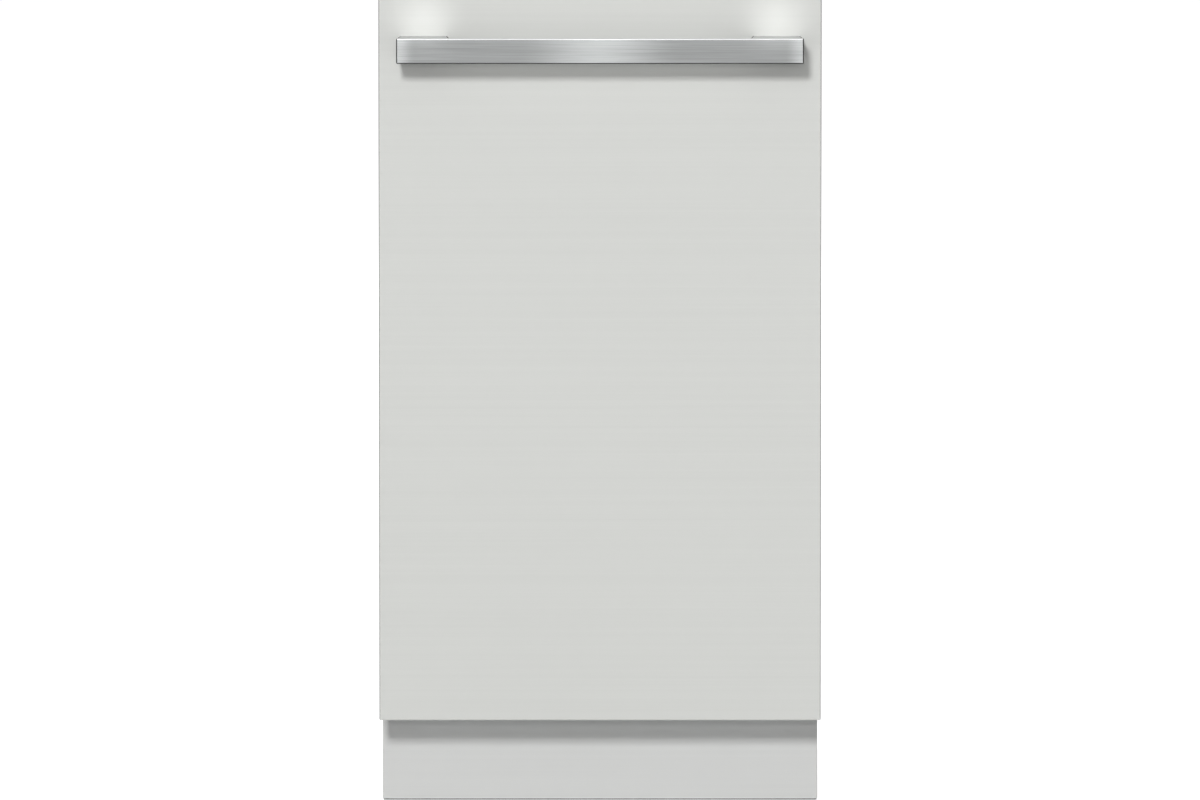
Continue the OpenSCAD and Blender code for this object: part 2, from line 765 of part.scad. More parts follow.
module filter_cylinder() {
    z0 = sump_bowl_z + base_wall + 1;
    grip_z = sump_lip_z + 16;
    color([0.55, 0.57, 0.58]) translate([0, filter_y, 0]) {
        difference() {
            union() {
                bar_z(z0, sump_lip_z + 4, 0, 0, 2 * filter_r);
                bar_z(sump_lip_z + 1.5 + fit_gap, sump_lip_z + 5, 0, 0, 2 * filter_r + 7);
            }
            bar_z(z0 + 2.5, sump_lip_z + 6, 0, 0, 2 * filter_r - 5);
            // Windows of the mesh
            for (a = [0 : 45 : 315], z = [z0 + 8, z0 + 36]) rotate([0, 0, a])
                slab(filter_r - 6, filter_r + 6, -10, 10, z, z + 22);
        }
        // Cross grip that turns it
        difference() {
            union() {
                slab(-filter_r + 2, filter_r - 2, -3, 3, sump_lip_z - 4, grip_z);
                slab(-3, 3, -filter_r + 2, filter_r - 2, sump_lip_z - 4, grip_z - 8);
            }
            both_sides() translate([filter_r - 2, -10, grip_z]) rotate([-90, 0, 0])
                cylinder(h = 20, r = 9);
        }
    }
}

module circulation_pump() {
    color([0.28, 0.29, 0.30]) difference() {
        union() {
            bar_x(pump_x0, pump_x0 + 34, sump_y, pump_z, 76);
            bar_x(pump_x0 + 33, pump_x0 + 84, sump_y, pump_z, 64);
            for (i = [0 : 4]) bar_x(pump_x0 + 42 + i * 8, pump_x0 + 45 + i * 8, sump_y, pump_z, 68);
            bar_y(sump_y, sump_y + 52, pump_x0 + 17, pump_z + 20, 26);
            slab(pump_x0 + 40, pump_x0 + 76, sump_y - 20, sump_y + 20, base_z + base_wall,
                pump_z - 20);
        }
        bar_x(pump_x0 + 78, pump_x0 + 85, sump_y, pump_z, 40);
        bar_y(sump_y + 40, sump_y + 53, pump_x0 + 17, pump_z + 20, 20);
    }
}

module drain_pump() {
    color([0.85, 0.85, 0.83]) {
        bar_x(-pump_x0 - 26, -pump_x0, sump_y, drain_pump_z, 56);
        bar_x(-pump_x0 - 64, -pump_x0 - 25, sump_y, drain_pump_z, 42);
        slab(-pump_x0 - 58, -pump_x0 - 32, sump_y - 17, sump_y + 17, drain_pump_z - 14,
            drain_pump_z + 26);
        bar_y(sump_y, sump_y + 44, -pump_x0 - 13, drain_pump_z - 10, 18);
        slab(-pump_x0 - 20, -pump_x0 - 6, sump_y - 12, sump_y + 12, base_z + base_wall,
            drain_pump_z - 20);
    }
}

module water_softener() {
    x0 = salt_x - 34;
    neck_z = tub_floor_z + 4;
    color([0.86, 0.86, 0.84]) difference() {
        union() {
            z_prism(base_z + base_wall, tub_z0 - 14)
                round_rect(x0, salt_x + 42, salt_y - 34, salt_y + 50, 12);
            bar_z(tub_z0 - 15, neck_z, salt_x, salt_y, 2 * salt_r);
            bar_z(tub_z0 - 5, tub_z0 - fit_gap, salt_x, salt_y, 2 * salt_r + 6);
            for (i = [0 : 3]) slab(x0 + 6, salt_x + 36, salt_y - 37, salt_y - 33,
                base_z + 20 + i * 22, base_z + 24 + i * 22);
        }
        bar_z(base_z + base_wall + 4, neck_z + over, salt_x, salt_y, 2 * salt_r - 8);
    }
}

module salt_cap() {
    top = tub_floor_z + 4 + fit_gap;
    color([0.90, 0.90, 0.89]) translate([salt_x, salt_y, 0]) difference() {
        union() {
            bar_z(tub_floor_z + fit_gap, top + 4, 0, 0, 2 * salt_r + 5);
            bar_z(tub_floor_z - 10, top + 1, 0, 0, 2 * (salt_r - 4 - fit_run));
            slab(-salt_r + 3, salt_r - 3, -3, 3, top + 3, top + 9);
        }
        difference() {
            bar_z(tub_floor_z - over, top, 0, 0, 2 * (salt_r + fit_run));
            bar_z(tub_floor_z - 2 * over, top + over, 0, 0, 2 * (salt_r - 4 - fit_run));
        }
    }
}

module inlet_valve() {
    color([0.88, 0.88, 0.86]) difference() {
        union() {
            slab(inlet_x - 20, inlet_x + 20, base_y1 - base_wall - 44, base_y1 - base_wall,
                connector_z - 22, connector_z + 18);
            bar_y(base_y1 - base_wall - over, base_y1 + 4, inlet_x, connector_z, 2 * inlet_r);
            bar_y(base_y1 + fit_gap, base_y1 + 4, inlet_x, connector_z, 2 * inlet_r + 8);
            bar_y(base_y1 + 3, base_y1 + 4 + inlet_l, inlet_x, connector_z, 2 * inlet_r);
            bar_x(inlet_x - 14, inlet_x + 14, base_y1 - base_wall - 24, connector_z + 24, 22);
        }
        bar_y(base_y1 - base_wall - 10, base_y1 + inlet_l + 5, inlet_x, connector_z,
            2 * inlet_r - 7);
    }
}

module mains_inlet() {
    color([0.10, 0.10, 0.11]) difference() {
        union() {
            y_prism(base_y1 - base_wall - 22, base_y1 + 1)
                round_rect(mains_x - 15 + fit_gap, mains_x + 15 - fit_gap,
                    connector_z - 11 + fit_gap, connector_z + 11 - fit_gap, 3);
            y_prism(base_y1 + 0.1, base_y1 + 3)
                round_rect(mains_x - 25, mains_x + 25, connector_z - 14, connector_z + 14, 4);
        }
        y_prism(base_y1 - base_wall - 14, base_y1 + 4)
            round_rect(mains_x - 12.5, mains_x + 12.5, connector_z - 8.5, connector_z + 8.5, 2);
    }
    color([0.75, 0.70, 0.50]) for (i = [-1 : 1]) slab(mains_x - 1 + 7 * i, mains_x + 1 + 7 * i,
        base_y1 - base_wall - 15, base_y1 - base_wall - 1, connector_z - 2.5 + 2 * abs(i) - 2,
        connector_z + 2.5 + 2 * abs(i) - 2);
}

// Flat water tank with moulded channels, between the tub and the left side panel
module water_box() {
    x1 = -tub_hw - 2 * fit_gap - felt_t;
    x0 = -carcass_hw + sheet_t + press_d + fit_gap;
    rib = 2;
    color([0.93, 0.93, 0.92]) mirror([1, 0, 0]) difference() {
        x_prism(-x1, -x0) round_rect(water_y0, water_y1, water_z0, water_z1, 18);
        x_prism(-x0 - rib, -x0 + over) for (i = [0 : 5])
            round_rect(water_y0 + 12 + (i % 2) * 20, water_y1 - 32 + (i % 2) * 20,
                water_z0 + 14 + i * 56, water_z0 + 54 + i * 56, 12);
        bar_x(-x1 - over, -x0 + over, water_y1 - 16, water_z0 + 16, 10);
    }
}

module control_box() {
    color([0.20, 0.21, 0.22]) difference() {
        union() {
            slab(62, 142, foot_y - 12, foot_y + 50, base_z + base_wall, base_z + 78);
            slab(58, 146, foot_y - 16, foot_y + 54, base_z + 74, base_z + 78);
        }
        for (i = [0 : 5]) slab(72 + i * 11, 78 + i * 11, foot_y - 18, foot_y + 4,
            base_z + 76, base_z + 80);
    }
}

module supply_tube() {
    low_y = sump_y + sump_bowl_r + 12;
    d = 2 * supply_r;
    color([0.72, 0.73, 0.74]) difference() {
        union() {
            bar_y(low_y, supply_y, 0, supply_low_z, d);
            translate([0, supply_y, supply_low_z]) sphere(supply_r);
            bar_z(supply_low_z, supply_top_z, 0, supply_y, d);
            translate([0, supply_y, supply_top_z]) sphere(supply_r);
            bar_y(hub_y, supply_y, 0, supply_top_z, d);
            bar_z(top_arm_z + arm_t + fit_gap, supply_top_z, 0, hub_y, 2 * bearing_r + 6);
            bar_z(top_arm_z - 3, supply_top_z, 0, hub_y, 2 * bearing_r);
            bar_z(top_arm_z - 4, top_arm_z - fit_gap, 0, hub_y, 2 * bearing_r + 8);
            // Docking nozzles for the upper rack's two heights
            for (z = [feed_z, feed_z - rack_adjust]) bar_y(dock_y, supply_y, 0, z, d - 1);
            slab(-supply_r + 1, supply_r - 1, supply_y, tub_back - fit_gap, feed_z - 60,
                feed_z + 20);
        }
        for (z = [feed_z, feed_z - rack_adjust]) bar_y(dock_y - over, supply_y, 0, z, d - 6);
    }
}

// Hinges and springs

module rail_channel(x1, h, y0, l, z) {
    difference() {
        slab(x1 - rail_flange - rail_t, x1, y0, y0 + l, z - h / 2, z + h / 2);
        slab(x1 - rail_flange - rail_t - over, x1 - rail_t, y0 - over, y0 + l + over,
            z - h / 2 + rail_t, z + h / 2 - rail_t);
    }
}

// Fixed outer rails: a pair for the upper rack and a pair for the cutlery tray
module rack_rails() {
    color([0.70, 0.71, 0.72]) both_sides() {
        rail_channel(rail_x1, rail_h, rail_y0, rail_l, rail_z);
        rail_channel(rail_x1, tray_rail_h, rail_y0, rail_l, tray_rail_z);
    }
}

module hinge_plates() {
    neck = 9;
    back = 90;
    kick_back = y_kick + kick_fold + 1 - y_pivot;
    color([0.62, 0.63, 0.64]) both_sides() difference() {
        union() {
            x_prism(hinge_x0, hinge_x0 + hinge_t) translate([y_pivot, pivot_z]) {
                circle(neck);
                polygon([[0, -neck], [0, neck], [back, neck - 24], [back, -62],
                    [kick_back, -62], [kick_back, -20], [pivot_back - 12, -neck]]);
            }
            bar_x(hinge_x0 + hinge_t / 2, arm_x0 + arm_t_sheet + 2, y_pivot, pivot_z, 2 * pivot_r);
        }
        for (z = [pivot_z - 28, pivot_z - 52]) bar_x(hinge_x0 - over, hinge_x0 + hinge_t + over,
            y_pivot + back - 14, z, 6);
    }
}

// Centre line of a door spring: through the hinge arm, along the coil, through the rear post
function spring_path() = let (
    rings = 8,
    r = spring_r,
    x_in = arm_x0 - 0.4,
    x_out = spring_x + r,
    tail_y = y_pivot + tail_l,
    end_y = spring_anchor_y
) concat(
    [[x_in, tail_y, pivot_z], [x_out - 2.5, tail_y, pivot_z], [x_out - 0.7, tail_y + 0.7, pivot_z],
        [x_out, tail_y + 2.5, pivot_z]],
    [for (i = [0 : spring_turns * rings]) let (a = i * 360 / rings)
        [spring_x + r * cos(a), spring_y0 + i * spring_pitch / rings, pivot_z + r * sin(a)]],
    [[x_out, end_y - 2.5, pivot_z], [x_out - 0.7, end_y - 0.7, pivot_z],
        [x_out - 2.5, end_y, pivot_z], [x_in - 2.5, end_y, pivot_z]]);

function unit(v) = v / norm(v);

// Round wire swept along a list of points
module swept_wire(points, r, sides) {
    last = len(points) - 1;
    rings = [for (i = [0 : last])
        let (t = unit(points[min(i + 1, last)] - points[max(i - 1, 0)]),
            ref = abs(t[2]) > 0.9 ? [1, 0, 0] : [0, 0, 1],
            u = unit(cross(t, ref)),
            v = cross(t, u))
        [for (k = [0 : sides - 1]) points[i] + r * (cos(k * 360 / sides) * u
            + sin(k * 360 / sides) * v)]];
    verts = [for (ring = rings) for (q = ring) q];
    walls = [for (i = [0 : last - 1], k = [0 : sides - 1]) let (
        a = i * sides + k,
        b = i * sides + (k + 1) % sides)
        each [[a, b, b + sides], [a, b + sides, a + sides]]];
    polyhedron(verts, concat(walls,
        [[for (k = [sides - 1 : -1 : 0]) k]],
        [[for (k = [0 : sides - 1]) last * sides + k]]));
}

// Least gap between a spring's wire and its own next turns
function spring_gap(points, skip) = min([for (i = [0 : len(points) - skip - 1])
    min([for (j = [i + skip : len(points) - 1]) norm(points[i] - points[j])])]) - 2 * spring_wire_r;
echo(spring_gap = spring_gap(spring_path(), 5));

module door_springs() {
    color([0.60, 0.61, 0.62]) both_sides() swept_wire(spring_path(), spring_wire_r, 6);
}

module leak_float() {
    color([0.92, 0.92, 0.90]) difference() {
        bar_z(base_z + base_wall + fit_gap, base_z + base_wall + 14, float_x, float_y, 50);
        bar_z(base_z, base_z + base_wall + 15, float_x, float_y, 2 * (3 + fit_run));
    }
}

module levelling_foot(x, y) {
    color([0.14, 0.14, 0.15]) {
        difference() {
            union() {
                bar_z(0, pad_t, x, y, 2 * pad_r);
                translate([x, y, pad_t - 0.5]) cylinder(h = 8, d = 3 * stem_r, $fn = 6);
            }
            for (a = [0 : 60 : 300]) translate([x + (pad_r + 1) * cos(a), y + (pad_r + 1) * sin(a),
                -over]) cylinder(h = pad_t + 2 * over, r = 3);
        }
        bar_z(pad_t, base_z + boss_h + 30, x, y, 2 * stem_r);
    }
}

module front_foot_left() { levelling_foot(-foot_x, foot_y); }
module front_foot_right() { levelling_foot(foot_x, foot_y); }
module rear_foot() { levelling_foot(0, rear_foot_y); }

// Spray arms: two tapered blades swept back into an S, turning on a bored hub

// Outline round two circles; its straight sides start just inside them
module taper(p, r1, q, r2) {
    d = q - p;
    turn = atan2(d[1], d[0]);
    lean = acos((r1 - r2) / norm(d));
    inside = 0.996;
    translate(p) circle(r1);
    translate(q) circle(r2);
    polygon([for (a = [turn + lean, turn - lean]) p + inside * r1 * [cos(a), sin(a)],
        for (a = [turn - lean, turn + lean]) q + inside * r2 * [cos(a), sin(a)]]);
}

module spray_arm(reach, z, hub_r) {
    tip_r = 10;
    sweep = 7;
    blade = reach - tip_r;
    knee = [0.55 * blade, -sweep];
    tip = [sqrt(blade * blade - sweep * sweep), sweep];
    difference() {
        union() {
            z_prism(z + 1.5, z + arm_t - 1.5) for (side = [0, 180]) rotate(side) {
                taper([0, 0], 24, knee, 17);
                taper(knee, 17, tip, tip_r);
            }
            // Raised rib along each blade and the hub boss
            z_prism(z + arm_t - 2, z + arm_t) for (side = [0, 180]) rotate(side) {
                taper([0, 0], 9, knee, 5);
                taper(knee, 5, tip - [8, 0], 3);
            }
            bar_z(z, z + arm_t, 0, 0, 2 * hub_r + 16);
        }
        bar_z(z - over, z + arm_t + over, 0, 0, 2 * (hub_r + fit_run));
        for (side = [0, 180], i = [0 : 3]) rotate(side)
            translate([blade * (0.36 + 0.2 * i), -sweep - 8 + 5.2 * i, z + arm_t - 5])
            cylinder(h = 8, d = nozzle_d, $fn = 24);
    }
}

module lower_spray_arm() {
    color([0.62, 0.64, 0.66]) translate([0, hub_y, 0]) rotate(20)
        spray_arm(arm_reach, lower_arm_z, bearing_r);
}
module middle_spray_arm() {
    color([0.62, 0.64, 0.66]) translate([0, hub_y, 0]) rotate(-35)
        spray_arm(arm_reach, middle_arm_z, bearing_r);
}
module top_spray_arm() {
    color([0.62, 0.64, 0.66]) translate([0, hub_y, 0]) rotate(60)
        spray_arm(top_arm_reach, top_arm_z, bearing_r);
}

// Door

module handle_screw_places() {
    for (side = [-1, 1], k = [-1, 1]) translate([side * handle_foot_x + k * handle_screw_gap / 2,
        0, handle_z]) children();
}

// Outline from above of a pan that stands with its flat front at y0 and ends at y1
module pan_outline(hw, y0, y1, r) {
    difference() {
        round_rect(-hw, hw, y0, y1 + 2 * r, r);
        translate([-hw - over, y1]) square([2 * hw + 2 * over, 3 * r]);
    }
}

// Folded sheet with a flange all round its back and a post for each handle screw
module front_panel() {
    hw = front_w / 2;
    head_r = 5;
    post_wall = 2.5;
    flange_w = 14;
    inside_r = max(0.2, panel_edge_r - sheet_t);
    color([0.83, 0.84, 0.82]) difference() {
        z_prism(panel_z, overall_h) pan_outline(hw, y_panel, y_door, panel_edge_r);
        difference() {
            union() {
                z_prism(panel_z + sheet_t, overall_h - sheet_t) pan_outline(hw - sheet_t,
                    y_panel + sheet_t, y_door - sheet_t, inside_r);
                slab(-hw + flange_w, hw - flange_w, y_door - 2 * sheet_t, y_door + over,
                    panel_z + flange_w, overall_h - flange_w);
            }
            handle_screw_places() bar_y(y_panel, y_door + 2 * over, 0, 0,
                2 * (head_r + post_wall) + 1);
        }
        handle_screw_places() bar_y(y_panel - over, y_door + over, 0, 0,
            2 * (screw_r + fit_run));
        handle_screw_places() bar_y(y_door - 5, y_door + over, 0, 0, 2 * head_r + 1);
    }
}

module handle_bar() {
    color([0.62, 0.64, 0.64]) x_prism(-handle_l / 2, handle_l / 2)
        round_rect(y_handle, y_handle + handle_bar_t, handle_z - handle_h / 2,
            handle_z + handle_h / 2, handle_edge_r);
}

module handle_feet() {
    hw = handle_foot_w / 2;
    y0 = y_handle + handle_bar_t;
    color([0.72, 0.73, 0.73]) difference() {
        both_sides() z_prism(handle_z + handle_h / 2 - handle_foot_h, handle_z + handle_h / 2)
            translate([handle_foot_x, 0]) polygon([[-hw, y0], [hw, y0],
                [hw - handle_foot_taper, y_panel], [-hw + handle_foot_taper, y_panel]]);
        handle_screw_places() bar_y(y_panel - 14, y_panel + over, 0, 0,
            2 * (screw_r + fit_run));
    }
}

module handle_screws() {
    color([0.55, 0.56, 0.57]) handle_screw_places() {
        bar_y(y_panel - 12, y_door - 4, 0, 0, 2 * screw_r);
        difference() {
            bar_y(y_door - 5 + fit_gap, y_door - 0.5, 0, 0, 10);
            translate([0, y_door - 2.5, 0]) rotate([-90, 0, 0]) cylinder(h = 3, r = 3, $fn = 6);
        }
    }
}

module outer_door() {
    color([0.70, 0.72, 0.73]) difference() {
        slab(-door_hw, door_hw, y_door, liner_front, door_z0, door_top);
        slab(-door_hw + sheet_t, door_hw - sheet_t, y_door + sheet_t, liner_front + over,
            door_z0 + sheet_t, door_top + over);
        // Notches that the hinges pass through
        both_sides() slab(notch_x, door_hw - 2 * sheet_t, y_door + 3, liner_front + over,
            door_z0 - over, notch_top);
    }
}

module inner_door() {
    color([0.80, 0.81, 0.82]) difference() {
        union() {
            slab(-door_hw, door_hw, liner_front, y_liner, door_z0 + sheet_t, strip_z0);
            y_prism(recess_y - sheet_t, y_liner - sheet_t / 2)
                round_rect(-recess_hw - sheet_t, recess_hw + sheet_t, recess_z0 - sheet_t,
                    recess_z1 + sheet_t, 24 + sheet_t);
        }
        y_prism(recess_y, y_liner + over)
            round_rect(-recess_hw, recess_hw, recess_z0, recess_z1, 24);
        y_prism(recess_y - 2 * sheet_t, recess_y + over)
            round_rect(disp_x0 + 5, disp_x1 - 5, disp_z0 + 5, disp_z1 - 5, 6);
        both_sides() slab(notch_x, door_hw + over, liner_front - over, y_liner + over,
            door_z0, notch_top);
    }
}

module control_strip() {
    hw = door_hw - sheet_t;
    slot_w = 15;
    color([0.30, 0.31, 0.32]) difference() {
        slab(-hw, hw, y_door + sheet_t, y_liner, strip_z0, door_top);
        slab(-hw + strip_wall, hw - strip_wall, y_door + sheet_t + strip_wall,
            y_liner - strip_wall, strip_z0 - over, door_top - strip_wall);
        // Slot for the striker, in the rear wall
        slab(-slot_w, slot_w, y_liner - strip_wall - over, y_liner + over,
            striker_z - striker_r - 3, striker_z + striker_r + 2.5);
        for (x = [power_x, program_x, start_x]) z_prism(door_top - strip_wall - over,
            door_top + over) round_rect(x - button_w / 2 - fit_gap, x + button_w / 2 + fit_gap,
                button_y - button_d / 2 - fit_gap, button_y + button_d / 2 + fit_gap, 3);
        // Shallow bed of the display window
        z_prism(door_top - 0.8, door_top + over)
            round_rect(70, 140, button_y - 8, button_y + 8, 3);
    }
}

module push_button(x) {
    color([0.12, 0.12, 0.13]) {
        z_prism(door_top - strip_wall - 2, door_top + button_travel - 0.4)
            round_rect(x - button_w / 2, x + button_w / 2, button_y - button_d / 2,
                button_y + button_d / 2, 2.7);
        z_prism(door_top - strip_wall - 3, door_top - strip_wall - fit_gap)
            round_rect(x - button_w / 2 - 1.5, x + button_w / 2 + 1.5,
                button_y - button_d / 2 - 1.5, button_y + button_d / 2 + 1.5, 3);
    }
}

module power_button() { push_button(power_x); }
module program_button() { push_button(program_x); }
module start_button() { push_button(start_x); }

module hinge_arms() {
    color([0.62, 0.63, 0.64]) both_sides() difference() {
        x_prism(arm_x0, arm_x0 + arm_t_sheet) translate([y_pivot, pivot_z]) {
            circle(10);
            translate([-10, 0]) square([arm_w, arm_h]);
            // Tail that the door spring pulls on
            translate([0, -5]) square([tail_l, 10]);
            translate([tail_l, 0]) circle(5);
        }
        bar_x(arm_x0 - over, arm_x0 + arm_t_sheet + over, y_pivot, pivot_z,
            2 * (pivot_r + fit_run));
        bar_x(arm_x0 - over, arm_x0 + arm_t_sheet + over, y_pivot + tail_l, pivot_z,
            2 * tail_hole_r);
        for (z = [60 : 50 : arm_h - 20]) bar_x(arm_x0 - over, arm_x0 + arm_t_sheet + over,
            y_pivot, pivot_z + z, 6);
    }
    // Ledges that screw the arms to the door's side walls
    color([0.62, 0.63, 0.64]) both_sides() for (z = [45 : 50 : arm_h - 20])
        slab(arm_x0 + arm_t_sheet - 1, door_hw - sheet_t, y_pivot - 6, y_pivot + 4,
            pivot_z + z - 12, pivot_z + z - 8);
}

module latch_case() {
    hw = 17;
    color([0.20, 0.21, 0.22]) difference() {
        slab(-hw, hw, claw_y - 9, y_liner - strip_wall - fit_gap, claw_z - 9,
            door_top - strip_wall);
        slab(-hw + 2.5, hw - 2.5, claw_y - 6.5, y_liner, claw_z - 6.5, striker_z + 6);
    }
    color([0.20, 0.21, 0.22]) bar_x(-hw + 1, hw - 1, claw_y, claw_z, 2 * claw_pin_r);
}

// Hook that rises behind the striker; it rests lowered, with the door unlatched
module latch_claw() {
    hw = 5;
    reach = 29;
    tip = reach - 3.2;
    color([0.75, 0.76, 0.77]) difference() {
        union() {
            bar_x(-hw, hw, claw_y, claw_z, 9);
            x_prism(-hw, hw) translate([claw_y, claw_z]) polygon([[0, -4], [reach, -2],
                [reach, 1.4], [tip + 1.2, 3.8], [tip, 3.8], [tip, 0.5], [0, 0.5]]);
        }
        bar_x(-hw - over, hw + over, claw_y, claw_z, 2 * (claw_pin_r + fit_run));
    }
}

module dispenser() {
    color([0.86, 0.86, 0.85]) difference() {
        union() {
            y_prism(recess_y - cup_depth - 3, recess_y + 1)
                round_rect(disp_x0 + 5 + fit_gap, disp_x1 - 5 - fit_gap,
                    disp_z0 + 5 + fit_gap, disp_z1 - 5 - fit_gap, 5);
            y_prism(recess_y, disp_face_y) round_rect(disp_x0, disp_x1, disp_z0, disp_z1, 10);
            // Guides above and below the sliding lid
            for (z = [cup_z0 - 8, cup_z1 + 4 + fit_gap]) slab(cup_x0 - 6, disp_x1 - 4,
                disp_face_y - 0.5, disp_face_y + lid_t + fit_gap, z, z + 4 - fit_gap);
            translate([rinse_x, disp_face_y - 0.5, rinse_z]) rotate([-90, 0, 0])
                cylinder(h = 3.5, r = rinse_r - 5);
        }
        y_prism(recess_y - cup_depth, disp_face_y + over)
            round_rect(cup_x0, cup_x1, cup_z0, cup_z1, 8);
        translate([rinse_x, recess_y - cup_depth + 6, rinse_z]) rotate([-90, 0, 0])
            cylinder(h = 50, r = rinse_r - 8);
    }
}

module dispenser_lid() {
    y0 = disp_face_y + fit_gap;
    color([0.78, 0.79, 0.80]) {
        y_prism(y0, y0 + lid_t)
            round_rect(cup_x0 - 5, cup_x1 + 4, cup_z0 - 4, cup_z1 + 4, 4);
        // Finger ridge
        slab(cup_x0 - 2, cup_x0 + 1, y0 + 1, y0 + lid_t + 3, cup_z0 + 8, cup_z1 - 8);
    }
}

module rinse_cap() {
    y0 = disp_face_y + fit_gap;
    color([0.35, 0.45, 0.60]) translate([rinse_x, 0, rinse_z]) difference() {
        union() {
            bar_y(y0, y0 + 5, 0, 0, 2 * rinse_r);
            slab(-rinse_r + 2, rinse_r - 2, y0 + 4, y0 + 9, -2.5, 2.5);
        }
        bar_y(y0 - over, y0 + 3, 0, 0, 2 * (rinse_r - 5 + fit_run));
    }
}

// Racks

// Wire along X with both ends bent upright
module bent_wire(half, z0, z1, d) {
    r = 3 * d;
    bar_x(-half + r, half - r, 0, z0, d);
    both_sides() {
        translate([half - r, 0, z0 + r]) rotate([90, 0, 0]) rotate(-90)
            rotate_extrude(angle = 90) translate([r, 0]) circle(d = d);
        bar_z(z0 + r, z1, half, 0, d);
    }
}

// Flat wire ring with round corners
module wire_ring(hw, y0, y1, z, d) {
    r = 14;
    for (y = [y0, y1]) bar_x(-hw + r, hw - r, y, z, d);
    both_sides() bar_y(y0 + r, y1 - r, hw, z, d);
    both_sides() {
        translate([hw - r, y1 - r, z]) rotate_extrude(angle = 90) translate([r, 0]) circle(d = d);
        translate([hw - r, y0 + r, z]) rotate(-90) rotate_extrude(angle = 90)
            translate([r, 0]) circle(d = d);
    }
}

// Places of a basket's cross wires and long wires
function cross_y(l, i) = let (reach = l / 2 - wire_d / 2 - 28)
    rack_y0 + l / 2 - reach + i * 2 * reach / (cross_wires - 1);
function long_wire_x(j) = -long_x + j * long_step;

// Bent wires of a basket l long, with the floor at z and ends that stand up to z1
module basket_floor(l, z, z1) {
    for (i = [0 : cross_wires - 1]) translate([0, cross_y(l, i), 0])
        bent_wire(rack_hw - wire_d / 2, z, z1, tine_d);
    for (j = [0 : long_wires - 1]) translate([long_wire_x(j), rack_y0 + l / 2, 0]) rotate(90)
        bent_wire(l / 2 - wire_d / 2, z + layer, z1, tine_d);
}

// Standing wires only, from z0 to z1
module basket_walls(l, z0, z1) {
    for (i = [0 : cross_wires - 1]) both_sides()
        bar_z(z0, z1, rack_hw - wire_d / 2, cross_y(l, i), tine_d);
    for (j = [0 : long_wires - 1], y = [rack_y0 + wire_d / 2, rack_y0 + l - wire_d / 2])
        bar_z(z0, z1, long_wire_x(j), y, tine_d);
}

module basket_rings(l, z, h) {
    for (up = [h, 0.55 * h]) wire_ring(rack_hw - wire_d / 2, rack_y0 + wire_d / 2,
        rack_y0 + l - wire_d / 2, z + up, wire_d);
}

module tine_row(x, y0, y1, z, h) {
    for (k = [0 : tine_count - 1])
        bar_z(z, z + h, x, y0 + k * (y1 - y0) / (tine_count - 1), tine_d);
}

// Block with a bore that a hinged rod turns in, standing on the rack
module rod_lug(x0, x1, y, z0, x, z) {
    difference() {
        slab(x0, x1, y - 2.5, y + 2.5, z0, z + 4);
        bar_y(y - 3, y + 3, x, z, tine_d + 2 * fit_run);
    }
}

module lower_rack() {
    color([0.80, 0.81, 0.83]) {
        basket_floor(lower_rack_l, lower_z, lower_z + lower_rack_h);
        basket_rings(lower_rack_l, lower_z, lower_rack_h);
        for (j = [1, 3, 6]) tine_row(long_wire_x(j), fold_y0, fold_y1,
            lower_z + layer, tine_h);
        for (y = [fold_y0 - 8, fold_y1 + 8]) rod_lug(fold_x - 4, fold_x + 4, y,
            lower_z + layer, fold_x, fold_z);
    }
}

module fold_tines() {
    color([0.72, 0.74, 0.78]) {
        bar_y(fold_y0 - 11, fold_y1 + 11, fold_x, fold_z, tine_d);
        tine_row(fold_x, fold_y0, fold_y1, fold_z, tine_h - 6);
    }
}

module wheel_mounts() {
    x0 = rack_hw + 0.2;
    x1 = wheel_x0 - fit_gap;
    color([0.30, 0.32, 0.34]) for (y = wheel_ys) both_sides() {
        x_prism(x0, x1) translate([y, 0]) polygon([[-9, wheel_z - 9], [9, wheel_z - 9],
            [22, lower_z - 4], [22, lower_z + 34], [-22, lower_z + 34], [-22, lower_z - 4]]);
        bar_x(x1 - 1, wheel_x0 + wheel_w + fit_gap, y, wheel_z, 2 * axle_r);
        bar_x(wheel_x0 + wheel_w + fit_gap, wheel_x0 + wheel_w + 1.5, y, wheel_z, 2 * axle_r + 4);
    }
}

module wheel_pair(y) {
    color([0.24, 0.26, 0.28]) both_sides() difference() {
        bar_x(wheel_x0, wheel_x0 + wheel_w, y, wheel_z, 2 * wheel_r);
        bar_x(wheel_x0 - over, wheel_x0 + wheel_w + over, y, wheel_z, 2 * (axle_r + fit_run));
        for (side = [0, 1]) translate([wheel_x0 + side * wheel_w - 1.5, y, wheel_z])
            rotate([0, 90, 0]) difference() {
                cylinder(h = 3, r = wheel_r - 3);
                translate([0, 0, -over]) cylinder(h = 5, r = axle_r + 3);
            }
        for (a = [0 : 60 : 300]) bar_x(wheel_x0 - over, wheel_x0 + wheel_w + over,
            y + 10.2 * cos(a), wheel_z + 10.2 * sin(a), 4.5);
    }
}

module front_wheels() { wheel_pair(wheel_ys[0]); }
module rear_wheels() { wheel_pair(wheel_ys[1]); }

module rail_middle() {
    color([0.74, 0.75, 0.76]) both_sides() rail_channel(rail_x1 - rail_t - fit_gap,
        rail_h - 2 * (rail_t + fit_gap), rail_y0, middle_l, rail_z);
}

